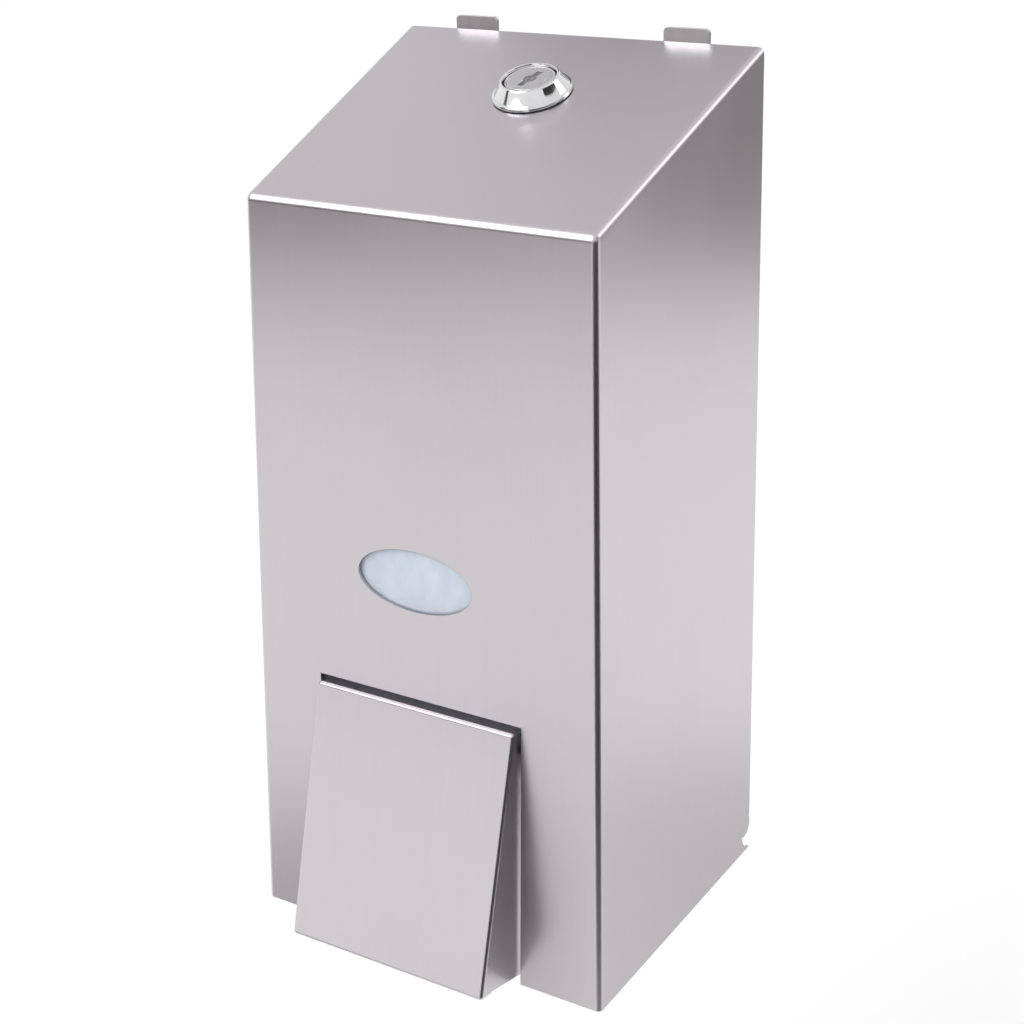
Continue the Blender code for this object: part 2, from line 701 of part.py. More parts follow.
def build_hinge_ears():
    """An angle riveted to each lower corner of the back plate, and the shouldered pin through it."""
    axis_z = BASE + HINGE_HEIGHT
    ear_foot_x = 0.038
    shank_end = HINGE_X - EAR_INSET - EAR_SHEET - GAP
    collar, collar_length = PIN_RADIUS + 0.0009, 0.0007
    pieces = []
    for label, side in (("left", -1), ("right", 1)):
        name = "hinge_ear_" + label
        near, far = side * (HINGE_X - EAR_INSET - EAR_SHEET), side * (HINGE_X - EAR_INSET)
        front, back = HINGE_Y - 0.006, -PLATE_WALL - GAP
        low, high = axis_z - 0.0036, axis_z + 0.006
        ear = place(name, box_mesh(name, (min(near, far), front, low), (max(near, far), back, high)), "zinc")
        foot_end = side * ear_foot_x
        join(ear, box_mesh("foot", (min(foot_end, far), back - PLATE_WALL, low),
                           (max(foot_end, far), back, high)))
        cut(ear, rod_mesh("pin_hole", (side * 0.045, HINGE_Y, axis_z), (side * 0.07, HINGE_Y, axis_z),
                          PIN_RADIUS + GAP, 20))
        cut(ear, rod_mesh("rivet_hole", (side * 0.043, -0.006, axis_z), (side * 0.043, 0.004, axis_z),
                          RIVET_RADIUS + GAP, 16))
        pieces.append(ear)
        head_in, head_out = HINGE_X - 0.0028, HINGE_X - 0.0016
        profile = [(0.0, head_out), (PIN_HEAD_RADIUS - 0.0005, head_out), (PIN_HEAD_RADIUS, head_out - 0.0005),
                   (PIN_HEAD_RADIUS, head_in), (PIN_RADIUS, head_in), (PIN_RADIUS, shank_end),
                   (collar, shank_end), (collar, shank_end - collar_length), (0.0, shank_end - collar_length)]
        pieces.append(turned("hinge_pin_" + label, profile, (0.0, HINGE_Y, axis_z), (side, 0, 0), "zinc",
                             steps=20))
    return pieces


def build_lock_catch():
    """A bent strip from the back plate whose upright end stands inside the cam's hook when locked."""
    foot_y = -PLATE_WALL - GAP - PLATE_WALL / 2
    foot_bottom, arm, post_y, post_top = 0.174, 0.190, -0.0189, 0.2055
    path = [(foot_y, foot_bottom), (foot_y, arm), (post_y, arm), (post_y, post_top)]
    catch = folded_sheet("lock_catch", path, 0.008, PLATE_WALL, "zinc", centre_x=LOCK_X)
    ear = CATCH_RIVET_X + 0.0042
    join(catch, box_mesh("catch_foot", (LOCK_X - ear, foot_y - PLATE_WALL / 2, BASE + foot_bottom),
                         (LOCK_X + ear, foot_y + PLATE_WALL / 2, BASE + arm - 0.0012)))
    for x, height in rivet_places()[2:4]:
        cut(catch, rod_mesh("rivet_hole", (x, -0.006, BASE + height), (x, 0.001, BASE + height),
                            RIVET_RADIUS + GAP, 16))
    return catch


def build_tank_shelf():
    sheet_middle = SHELF_HEIGHT - PLATE_WALL / 2
    foot_y = -PLATE_WALL - GAP - PLATE_WALL / 2
    foot_bottom, front_lip = 0.050, 0.006
    path = [(foot_y, foot_bottom), (foot_y, sheet_middle), (SHELF_FRONT_Y, sheet_middle),
            (SHELF_FRONT_Y, sheet_middle - front_lip)]
    shelf = folded_sheet("tank_shelf", path, SHELF_WIDTH, PLATE_WALL, "zinc")
    for x, height in rivet_places()[:2]:
        cut(shelf, rod_mesh("rivet_hole", (x, -0.006, BASE + height), (x, 0.001, BASE + height),
                            RIVET_RADIUS + GAP, 16))
    top = BASE + SHELF_HEIGHT
    cut(shelf, rod_mesh("spout_hole", (0.0, SPOUT_Y, top - 0.005), (0.0, SPOUT_Y, top + 0.005),
                        SPOUT_RADIUS + 0.002, 28))
    for side in (-1, 1):
        x = side * STRAP_SCREW_X
        cut(shelf, rod_mesh("screw_hole", (x, STRAP_Y, top - 0.004), (x, STRAP_Y, top + 0.004),
                            STRAP_SCREW_HOLE, 16))
    return shelf


# ---------------------------------------------------------------- tank and pump

def build_tank():
    tank = place("tank", box_mesh("tank", TANK_LOW, TANK_HIGH), "tank")
    soften(tank, 0.006, 3)
    neck_top = TANK_HIGH.z + NECK_LENGTH
    spout_end = BASE + SPOUT_END
    join(tank, rod_mesh("neck", (0.0, NECK_Y, TANK_HIGH.z - 0.001), (0.0, NECK_Y, neck_top), NECK_RADIUS, 28))
    join(tank, rod_mesh("spout", (0.0, SPOUT_Y, TANK_LOW.z + 0.001), (0.0, SPOUT_Y, spout_end),
                        SPOUT_RADIUS, 28))
    inset = Vector((TANK_WALL, TANK_WALL, TANK_WALL))
    cavity = cut(tank, box_mesh("cavity", TANK_LOW + inset, TANK_HIGH - inset))
    soften(cavity, 0.004, 3)
    cut(tank, rod_mesh("neck_bore", (0.0, NECK_Y, TANK_HIGH.z - 0.01), (0.0, NECK_Y, neck_top + 0.01),
                       NECK_RADIUS - TANK_WALL, 28))
    cut(tank, rod_mesh("spout_bore", (0.0, SPOUT_Y, TANK_LOW.z + 0.01), (0.0, SPOUT_Y, spout_end - 0.01),
                       SPOUT_RADIUS - TANK_WALL, 28))
    return tank


def build_filler_cap():
    inner = NECK_RADIUS + 0.0004
    outer = NECK_RADIUS + 0.002
    skirt, ceiling, top = 0.0012, NECK_LENGTH + 0.0018, NECK_LENGTH + 0.004
    profile = [
        (0.0, top), (outer - 0.001, top), (outer, top - 0.001), (outer, skirt), (inner, skirt),
        (inner, ceiling), (0.0, ceiling)]
    origin = (0.0, NECK_Y, TANK_HIGH.z)
    cap = turned("filler_cap", profile, origin, (0, 0, 1), "white", steps=32)
    seal_low, seal_high, seal_width = NECK_LENGTH + GAP, ceiling - GAP, 0.003
    seal_profile = [(NECK_RADIUS, seal_high), (NECK_RADIUS, seal_low), (NECK_RADIUS - seal_width, seal_low),
                    (NECK_RADIUS - seal_width, seal_high)]
    seal = turned("cap_seal", seal_profile, origin, (0, 0, 1), "rubber", closed=True, steps=24)
    return [cap, seal]


def build_tank_grommet():
    """A flanged ring that seals the tank's spout in the shelf."""
    bore, waist, flange = SPOUT_RADIUS + GAP, SPOUT_RADIUS + 0.0017, SPOUT_RADIUS + 0.0045
    top, step = SHELF_HEIGHT + GAP, SHELF_HEIGHT - PLATE_WALL - GAP
    bottom = step - 0.0019
    profile = [(waist, top), (waist, step), (flange, step), (flange, bottom), (bore, bottom), (bore, top)]
    return turned("tank_grommet", profile, (0.0, SPOUT_Y, BASE), (0, 0, 1), "rubber", closed=True, steps=24)


def build_pump_body():
    """A horizontal cylinder with a collar for the tank's spout above and an outlet below."""
    z = BASE + PUMP_HEIGHT
    body = place("pump_body", rod_mesh("pump_body", (0, PUMP_REAR_Y, z), (0, PUMP_FRONT_Y, z), PUMP_RADIUS, 28),
                 "white")
    collar_top, outlet_end = 0.058, 0.0165
    socket_floor, inlet_seat, outlet_seat = 0.051, 0.0455, 0.0225

    def upright(name, low, high, radius, segments):
        return rod_mesh(name, (0, SPOUT_Y, BASE + low), (0, SPOUT_Y, BASE + high), radius, segments)

    join(body, upright("collar", PUMP_HEIGHT, collar_top, 0.0095, 24))
    join(body, upright("outlet", outlet_end, PUMP_HEIGHT, 0.0055, 24))
    cut(body, rod_mesh("bore", (0, PUMP_REAR_Y - 0.0025, z), (0, PUMP_FRONT_Y - 0.002, z), PUMP_BORE, 28))
    cut(body, upright("socket", socket_floor, collar_top + 0.002, SPOUT_RADIUS + 0.0004, 28))
    cut(body, upright("inlet_seat", inlet_seat, socket_floor + 0.001, 0.0042, 20))
    cut(body, upright("port", outlet_end - 0.0045, inlet_seat + 0.0025, 0.0022, 20))
    cut(body, upright("outlet_seat", outlet_end - 0.0045, outlet_seat, 0.0034, 20))
    return body


def build_valve_balls():
    balls = []
    for name, height, radius in (("inlet_ball", 0.0484, 0.003), ("outlet_ball", 0.0195, 0.0027)):
        bm = bmesh.new()
        bmesh.ops.create_uvsphere(bm, u_segments=16, v_segments=10, radius=radius,
                                  matrix=Matrix.Translation((0.0, SPOUT_Y, BASE + height)))
        balls.append(place(name, mesh_from(name, bm), "spring"))
    return balls


def build_pump_end_cap():
    z = BASE + PUMP_HEIGHT
    bore, length = ROD_RADIUS + 0.0005, 0.003
    profile = [(PUMP_RADIUS, length), (PUMP_RADIUS, GAP), (bore, GAP), (bore, length)]
    return turned("pump_end_cap", profile, (0, PUMP_FRONT_Y, z), (0, -1, 0), "white", closed=True, steps=24)


def build_piston():
    """Rod, sealed head and domed button of the pump, all moving along Y."""
    origin = (0.0, PUMP_FRONT_Y, BASE + PUMP_HEIGHT)
    head_front, head_rear, groove = -0.001, -0.008, 0.0066
    head = PUMP_BORE - 0.0004
    rod = ROD_RADIUS
    rod_end = PUMP_FRONT_Y - BUTTON_CENTRE_Y + 0.0025
    profile = [
        (0.0, rod_end), (rod, rod_end), (rod, head_front), (head, head_front), (head, head_front - 0.0025),
        (groove, head_front - 0.0025), (groove, head_front - 0.0045), (head, head_front - 0.0045),
        (head, head_rear), (0.0, head_rear)]
    piston = turned("pump_piston", profile, origin, (0, -1, 0), "white", steps=24)
    seal_profile = [(PUMP_BORE - 0.0002, head_front - 0.0028), (PUMP_BORE - 0.0002, head_front - 0.0042),
                    (groove + GAP, head_front - 0.0042), (groove + GAP, head_front - 0.0028)]
    seal = turned("piston_seal", seal_profile, origin, (0, -1, 0), "rubber", closed=True, steps=24)

    centre = PUMP_FRONT_Y - BUTTON_CENTRE_Y
    rim_angle = 58.0
    dome = [(BUTTON_SPHERE * math.sin(math.radians(a)), centre + BUTTON_SPHERE * math.cos(math.radians(a)))
            for a in [rim_angle * i / 6 for i in range(7)]]
    back = centre - 0.0025
    button_profile = dome + [
        (dome[-1][0], back), (rod + GAP, back), (rod + GAP, rod_end + GAP), (0.0, rod_end + GAP)]
    button = turned("pump_button", button_profile, origin, (0, -1, 0), "white", steps=24)
    return [piston, seal, button]


def build_return_spring():
    """The coil round the piston rod, from the end cap to the button."""
    start, end = PUMP_FRONT_Y - 0.0039, BUTTON_CENTRE_Y + 0.0034
    turns, per_turn = 5, 10
    z = BASE + PUMP_HEIGHT
    points = []
    for i in range(turns * per_turn + 1):
        angle = 2 * math.pi * i / per_turn
        y = start + (end - start) * i / (turns * per_turn)
        points.append((SPRING_RADIUS * math.cos(angle), y, z + SPRING_RADIUS * math.sin(angle)))
    return place("return_spring", tube_mesh("return_spring", points, SPRING_WIRE), "spring")


def build_outlet_tube():
    """From under the pump forwards to the nozzle, in two smooth bends."""
    top, run, nozzle_y, bend, end = 0.0162, 0.0125, -0.0735, 0.0036, 0.0062
    path = [(SPOUT_Y, top)]
    path += arc((SPOUT_Y - bend, run + bend), bend, 0, -90, 6)
    path += arc((nozzle_y + bend, run - bend), bend, 90, 180, 6)
    path.append((nozzle_y, end))
    points = [(0.0, y, BASE + h) for y, h in path]
    tube = place("outlet_tube", tube_mesh("outlet_tube", points, 0.003, 3), "white")
    tip_profile = [(0.0048, 0.0052), (0.0048, 0.003), (0.0034, -0.004), (0.0022, -0.004), (0.0022, 0.0022),
                   (0.0033, 0.0022), (0.0033, 0.0052)]
    tip = turned("nozzle_tip", tip_profile, (0.0, nozzle_y, BASE + end - 0.0025), (0, 0, 1),
                 "rubber", closed=True, steps=24)
    return [tube, tip]


def build_pump_strap():
    """A U of strip under the pump, with feet screwed to the shelf."""
    radius = PUMP_RADIUS + GAP + PLATE_WALL / 2
    foot_height = SHELF_HEIGHT - PLATE_WALL - GAP - PLATE_WALL / 2
    foot_end = STRAP_SCREW_X + 0.0045
    outline = [(-foot_end, foot_height), (-radius, foot_height)]
    outline += arc((0.0, PUMP_HEIGHT), radius, 180, 360, 16)
    outline += [(radius, foot_height), (foot_end, foot_height)]
    bm = bmesh.new()
    near, far = STRAP_Y - STRAP_HALF_DEPTH, STRAP_Y + STRAP_HALF_DEPTH
    rows = [(bm.verts.new((x, near, BASE + h)), bm.verts.new((x, far, BASE + h))) for x, h in outline]
    for (a, b), (c, d) in zip(rows, rows[1:]):
        bm.faces.new((a, b, d, c))
    strap = place("pump_strap", mesh_from("pump_strap", bm), "zinc")
    thicken(strap, PLATE_WALL, 0.0)
    pieces = [strap]
    for label, side in (("left", -1), ("right", 1)):
        x = side * STRAP_SCREW_X
        cut(strap, rod_mesh("screw_hole", (x, STRAP_Y, BASE + foot_height - 0.004),
                            (x, STRAP_Y, BASE + foot_height + 0.004), STRAP_SCREW_HOLE, 16))
        head = foot_height - PLATE_WALL / 2 - GAP
        profile = [(0.0, SHELF_HEIGHT), (0.0013, SHELF_HEIGHT), (0.0013, head), (0.0028, head),
                   (0.0028, head - 0.0016), (0.0, head - 0.0016)]
        pieces.append(turned("strap_screw_" + label, profile, (x, STRAP_Y, BASE), (0, 0, 1), "zinc", steps=12))
    return pieces


# ---------------------------------------------------------------- assembly

def build():
    global PARTS, CUTTERS
    clear_scene()
    PARTS = make_collection(OBJECT_NAME)
    CUTTERS = make_collection("cutters")

    build_back_plate()
    build_rivets()
    build_hinge_ears()
    build_lock_catch()
    build_tank_shelf()
    build_tank()
    build_tank_grommet()
    build_pump_body()
    build_valve_balls()
    build_pump_end_cap()
    build_return_spring()
    build_outlet_tube()
    build_pump_strap()

    cover_pieces = [build_cover(), build_window_lens()] + build_hinge_plates() + build_lock_body()
    cover_pieces += build_lever_brackets()
    plug_pieces = build_lock_plug()
    plate_pieces = build_push_plate()
    cap_pieces = build_filler_cap()
    piston_pieces = build_piston()

    cover_axis = axis_empty("cover_axis", (0.0, HINGE_Y, BASE + HINGE_HEIGHT))
    plug_axis = axis_empty("lock_axis", lock_frame()[0])
    plate_axis = axis_empty("push_plate_axis", lever_axis())
    cap_axis = axis_empty("cap_axis", (0.0, NECK_Y, TANK_HIGH.z))
    piston_axis = axis_empty("piston_axis", (0.0, PUMP_FRONT_Y, BASE + PUMP_HEIGHT))
    ride(plug_axis, plug_pieces)
    ride(plate_axis, plate_pieces)
    ride(cap_axis, cap_pieces)
    ride(piston_axis, piston_pieces)
    ride(cover_axis, cover_pieces + [plug_axis, plate_axis])


build()
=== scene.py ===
"""Looks of the wall mounted soap dispenser: brushed steel cover and push plate, chromed cam lock, plated
back plate, and the plastic tank and pump inside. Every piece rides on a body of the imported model.

Metres, +Z up, the front faces -Y, the origin is on the wall face of the back plate.
"""

import math

import bmesh
import bpy
from mathutils import Matrix, Vector


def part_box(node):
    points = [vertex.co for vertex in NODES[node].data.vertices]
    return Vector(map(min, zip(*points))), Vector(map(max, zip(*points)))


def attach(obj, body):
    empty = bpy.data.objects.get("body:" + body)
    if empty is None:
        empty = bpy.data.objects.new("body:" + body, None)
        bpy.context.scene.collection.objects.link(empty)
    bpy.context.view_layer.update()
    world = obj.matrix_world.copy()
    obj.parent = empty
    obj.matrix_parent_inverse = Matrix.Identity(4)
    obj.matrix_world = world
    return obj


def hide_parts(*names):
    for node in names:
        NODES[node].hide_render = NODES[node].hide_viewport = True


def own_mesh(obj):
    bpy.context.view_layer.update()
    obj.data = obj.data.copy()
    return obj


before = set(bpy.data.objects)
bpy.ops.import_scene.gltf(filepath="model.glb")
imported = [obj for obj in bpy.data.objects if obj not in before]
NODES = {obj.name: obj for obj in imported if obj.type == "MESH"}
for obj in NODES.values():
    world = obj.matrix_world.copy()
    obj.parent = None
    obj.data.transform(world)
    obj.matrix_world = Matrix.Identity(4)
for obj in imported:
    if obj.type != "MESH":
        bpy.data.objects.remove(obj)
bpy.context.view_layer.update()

# ---------------------------------------------------------------- sizes, as in the CAD model

BASE = -0.115
COVER_SHEET = 0.001
COVER_HALF_WIDTH = 0.0525
SIDE_FLARE = 0.0632
SIDE_TAPER = 0.02885
FRONT_BOTTOM_Y = -0.0931
FRONT_TOP_Y = -0.0882
REAR_Y = -0.007
FRONT_HEIGHT = 0.1998
REAR_HEIGHT = 0.2295
REAR_BOTTOM = 0.001
BEND_RADIUS = 0.0016

HINGE_Y = -0.006
HINGE_HEIGHT = 0.0068
NOTCH_RADIUS = 0.0056
HINGE_X = 0.0578
PIN_RADIUS = 0.0015
PIN_HEAD_RADIUS = 0.0038
EAR_INSET = 0.0054
EAR_SHEET = 0.0015

WINDOW_X = -0.0013
WINDOW_HEIGHT = 0.1085
WINDOW_HALF_WIDTH = 0.0165
WINDOW_HALF_HEIGHT = 0.0082

PLATE_X = -0.001
PLATE_HALF_WIDTH = 0.0293
PLATE_SHEET = 0.001
PLATE_LENGTH = 0.0703
PLATE_TILT = math.radians(14.8)
PLATE_TOP_Y = -0.0937
PLATE_TOP_HEIGHT = 0.0752
PLATE_TOP_DEPTH = 0.0125
PLATE_BOTTOM_DEPTH = 0.0245
PLATE_LIP = 0.005
SLOT_SIDE_GAP = 0.0007
SLOT_TOP = 0.0761
LEVER_DOWN = 0.006
LEVER_BACK = 0.0084
LEVER_ROD_RADIUS = 0.0015

LOCK_X = 0.0023
LOCK_Y = -0.0352
BEZEL_RADIUS = 0.0101
BEZEL_HEIGHT = 0.0045
BARREL_RADIUS = 0.0082
BARREL_LENGTH = 0.018
PLUG_RADIUS = 0.0064
NUT_RADIUS = 0.0108
NUT_DEPTH = 0.0052
KEY_SLOT_HALF_LENGTH = 0.0038
KEY_SLOT_HALF_WIDTH = 0.0008
KEY_CENTRE_RADIUS = 0.0017
KEY_SLOT_DEPTH = 0.0115
KEY_LEAN = Vector((0.292, 0.956))
CAM_DEPTH = 0.0205
CAM_SHEET = 0.0016

PLATE_WALL = 0.0012
BACK_INSET = 0.0032
BACK_BOTTOM = 0.001
BACK_TOP = 0.2265
BACK_RIM_Y = -0.0055
TAB_TOP = 0.2329
TAB_INNER_X = 0.0241
TAB_OUTER_X = 0.0365
TAB_CORNER = 0.0012
SCREW_HOLE_RADIUS = 0.0026
SCREW_HOLE_X = 0.028
SCREW_HOLE_HEIGHTS = (0.028, 0.205)

NECK_Y = -0.042
NECK_RADIUS = 0.014
NECK_LENGTH = 0.010
TANK_WALL = 0.002
SPOUT_Y = -0.040
SPOUT_RADIUS = 0.007
SPOUT_END = 0.0515
PUMP_FRONT_Y = -0.066
PUMP_HEIGHT = 0.033
BUTTON_CENTRE_Y = -0.0812
SPRING_RADIUS = 0.0052
SPRING_WIRE = 0.0004

GAP = 0.0003
RIVET_RADIUS = 0.0015

# ---------------------------------------------------------------- details that only the visual model has

CUTTER_REACH = 0.01
NOTCH_CUTTER_HALF = 0.08
LEVER_CUTTER_HALF = 0.06
HOLE_CUTTER_HALF = 0.004
SHEET_EDGE = 0.00018
SHEET_EDGE_STEPS = 3
COVER_BEND_STEPS = 8
PLATE_BEND_RADIUS = 0.001
PLATE_BEND_STEPS = 6
SLOT_CUTTER_DEPTH = 0.015
LOCK_HOLE_RADIUS = BARREL_RADIUS + 0.0004

LENS_DOME = 0.00045
LENS_RECESS = 0.0002
LENS_FLANGE_WIDTH = 0.003
LENS_FLANGE_SHEET = 0.0014
LENS_RINGS = 8

BEZEL_LIP = 0.0005
BEZEL_FOOT_HEIGHT = 0.0014
NUT_CHAMFER_FLARE = 0.0011
NUT_CHAMFER_INSET = 0.0006
NUT_EDGE = 0.00015
PLUG_FACE_DROP = 0.0005
PLUG_SHAFT_RADIUS = 0.0032
PLUG_SHOULDER_GAP = 0.0008
PLUG_GROOVE_DEPTH = 0.00012
PLUG_EDGE = 0.0001
KEY_CUTTER_TOP = 0.002

PAN_EDGE = 0.00025
PAN_EDGE_STEPS = 3
TAB_CORNER_STEPS = 5
EAR_GAP_INNER_X = 0.0485
EAR_GAP_OUTER_X = 0.060
EAR_GAP_HEIGHT = 0.0165
EAR_GAP_CLEARANCE = 0.0001
PIN_HEAD_INNER = 0.0028
PIN_HEAD_OUTER = 0.0016
PIN_COLLAR = 0.0009
PIN_COLLAR_LENGTH = 0.0007
RIVET_HEAD_RADIUS = 0.0028
RIVET_HEAD_STEP = 0.0003
RIVET_DOME_HEIGHT = 0.0009
RIVET_FOOT = 0.0002

TANK_BOTTOM = 0.074
TANK_ROUND = 0.0075
TANK_ROUND_STEPS = 8
TANK_INNER_ROUND = 0.0055
TANK_INNER_STEPS = 6
TANK_JOIN = 0.001
NECK_CUTTER_TOP = 0.03
SEAM_HALF_WIDTH = 0.0005
SEAM_GROWTH = 0.008
LEVEL_MARKS = 5
LEVEL_MARK_START = 0.22
LEVEL_MARK_STEP = 0.14
LEVEL_MARK_LENGTHS = (0.010, 0.006)
LEVEL_MARK_INSET = 0.012
LEVEL_MARK_HALF = 0.0003
LEVEL_MARK_RELIEF = 0.00025
LEVEL_MARK_ROOT = 0.001
TANK_EDGE = 0.00012

CAP_RIBS = 36
CAP_RIB_DEPTH = 0.00035
CAP_SKIRT = 0.0012
CAP_CLEARANCE = 0.0004
CAP_WALL = 0.002
CAP_CEILING = 0.0018
CAP_TOP = 0.004
CAP_DISH = 0.0006
CAP_STEPS = 288

COIL_TURNS = 5.0
COIL_STEPS = 32
COIL_SIDES = 12
COIL_CLOSING = 0.12
COIL_REAR_OFFSET = 0.0039
COIL_FRONT_OFFSET = 0.0034

CAM_SCREW_HEAD = 0.002
CAM_SCREW_RECESS = 0.0024
STRAP_SCREW_RECESS = 0.0017
RECESS_DEPTH = 0.0009
RECESS_SHARE = 0.22
SCREW_EDGE = 0.00008

# ---------------------------------------------------------------- camera and light

CAMERA_TARGET = Vector((0.00219, -0.0476, -0.0030))
CAMERA_AZIMUTH = math.radians(29.76)
CAMERA_ELEVATION = math.radians(22.99)
CAMERA_DISTANCE = 0.4479
CAMERA_ROLL = math.radians(-0.67)
CAMERA_LENS = 59.5
SENSOR_WIDTH = 36.0

FLOOR_Z = -0.34
FLOOR_COLOUR = (0.93, 0.93, 0.93)


def direction(azimuth, elevation):
    """Unit vector from the object, azimuth 0 towards the front and 90 towards the right, in degrees."""
    a, e = math.radians(azimuth), math.radians(elevation)
    return Vector((math.sin(a) * math.cos(e), -math.cos(a) * math.cos(e), math.sin(e)))


def make_camera():
    data = bpy.data.cameras.new("camera")
    data.lens = CAMERA_LENS
    data.sensor_width = SENSOR_WIDTH
    data.clip_start = 0.01
    data.clip_end = 50.0
    camera = bpy.data.objects.new("camera", data)
    bpy.context.scene.collection.objects.link(camera)
    back = direction(math.degrees(CAMERA_AZIMUTH), math.degrees(CAMERA_ELEVATION))
    level_right = Vector((0.0, 0.0, 1.0)).cross(back).normalized()
    level_up = back.cross(level_right)
    right = level_right * math.cos(CAMERA_ROLL) + level_up * math.sin(CAMERA_ROLL)
    up = back.cross(right)
    matrix = Matrix((right, up, back)).transposed().to_4x4()
    matrix.translation = CAMERA_TARGET + back * CAMERA_DISTANCE
    camera.matrix_world = matrix
    bpy.context.scene.camera = camera


def facing(centre, target):
    """A matrix at centre whose -Z looks at target."""
    turn = (Vector(target) - Vector(centre)).to_track_quat("-Z", "Y").to_matrix().to_4x4()
    return Matrix.Translation(centre) @ turn


def softbox(name, azimuth, elevation, distance, width, height, power):
    data = bpy.data.lights.new(name, "AREA")
    data.shape = "RECTANGLE"
    data.size = width
    data.size_y = height
    data.energy = power
    light = bpy.data.objects.new(name, data)
    bpy.context.scene.collection.objects.link(light)
    light.matrix_world = facing(direction(azimuth, elevation) * distance, (0.0, -0.05, 0.0))
    light.visible_camera = False


def soft_sun(name, azimuth, elevation, spread, strength):
    """An even light from one side with very soft shadows; spread is its disc's size in degrees."""
    data = bpy.data.lights.new(name, "SUN")
    data.angle = math.radians(spread)
    data.energy = strength
    light = bpy.data.objects.new(name, data)
    bpy.context.scene.collection.objects.link(light)
    light.matrix_world = facing(direction(azimuth, elevation), (0.0, 0.0, 0.0))


def flag(name, azimuth, elevation, distance, width, height, grey):
    """A dark card that the metal mirrors, as a photographer hangs one beside bright parts."""
    bm = bmesh.new()
    half_x, half_y = width / 2, height / 2
    corners = [(-half_x, -half_y), (half_x, -half_y), (half_x, half_y), (-half_x, half_y)]
    bm.faces.new([bm.verts.new((x, y, 0.0)) for x, y in corners])
    mesh = bpy.data.meshes.new(name)
    bm.to_mesh(mesh)
    bm.free()
    card = bpy.data.objects.new(name, mesh)
    bpy.context.scene.collection.objects.link(card)
    card.matrix_world = facing(direction(azimuth, elevation) * distance, (0.0, -0.05, 0.0))
    material = bpy.data.materials.new(name)
    material.use_nodes = True
    shader = material.node_tree.nodes["Principled BSDF"]
    shader.inputs["Base Color"].default_value = (grey, grey, grey, 1.0)
    shader.inputs["Roughness"].default_value = 0.9
    mesh.materials.append(material)
    card.visible_camera = False
    card.visible_shadow = False
    card.visible_diffuse = False


def make_floor():
    bm = bmesh.new()
    bmesh.ops.create_grid(bm, x_segments=1, y_segments=1, size=8.0)
    mesh = bpy.data.meshes.new("floor")
    bm.to_mesh(mesh)
    bm.free()
    floor = bpy.data.objects.new("floor", mesh)
    bpy.context.scene.collection.objects.link(floor)
    floor.location = (0.0, 0.0, FLOOR_Z)
    material = bpy.data.materials.new("pale_floor")
    material.use_nodes = True
    shader = material.node_tree.nodes["Principled BSDF"]
    shader.inputs["Base Color"].default_value = (*FLOOR_COLOUR, 1.0)
    shader.inputs["Roughness"].default_value = 0.95
    shader.inputs["Specular IOR Level"].default_value = 0.0
    mesh.materials.append(material)


def make_world():
    """Plain studio surround: pale at the horizon, a little darker overhead."""
    world = bpy.data.worlds.new("studio")
    world.use_nodes = True
    nodes, links = world.node_tree.nodes, world.node_tree.links
    background = nodes["Background"]
    place = nodes.new("ShaderNodeTexCoord")
    split = nodes.new("ShaderNodeSeparateXYZ")
    ramp = nodes.new("ShaderNodeValToRGB")
    links.new(place.outputs["Generated"], split.inputs[0])
    links.new(split.outputs["Z"], ramp.inputs["Fac"])
    links.new(ramp.outputs["Color"], background.inputs["Color"])
    ramp.color_ramp.elements[0].position = 0.0
    ramp.color_ramp.elements[0].color = (0.98, 0.98, 0.98, 1.0)
    ramp.color_ramp.elements[1].position = 0.6
    ramp.color_ramp.elements[1].color = (0.80, 0.795, 0.80, 1.0)
    background.inputs["Strength"].default_value = 1.0
    bpy.context.scene.world = world


def make_studio():
    make_world()
    make_floor()
    soft_sun("key_light", -32.0, 40.0, 44.0, 1.3)
    softbox("side_light", 126.0, 40.0, 1.4, 0.5, 0.6, 1.5)
    flag("front_flag", -34.0, 10.5, 0.46, 0.62, 0.18, 0.03)
    flag("band_flag", -58.0, 22.0, 0.60, 0.09, 0.30, 0.08)
    flag("rear_flag", 150.0, 12.0, 0.50, 0.54, 0.34, 0.20)
    flag("camera_flag", 46.0, -12.0, 0.41, 0.60, 0.50, 0.01)
    flag("lock_flag", 85.0, 33.0, 1.0, 0.80, 0.30, 0.02)
    flag("corner_flag", -156.0, 40.0, 0.55, 0.24, 0.26, 0.15)
    flag("low_front_flag", -28.0, -44.0, 0.31, 0.17, 0.11, 0.62)
    flag("low_side_flag", 125.0, -52.0, 0.29, 0.18, 0.12, 0.72)
    bpy.context.scene.view_settings.view_transform = "Standard"


# ---------------------------------------------------------------- materials

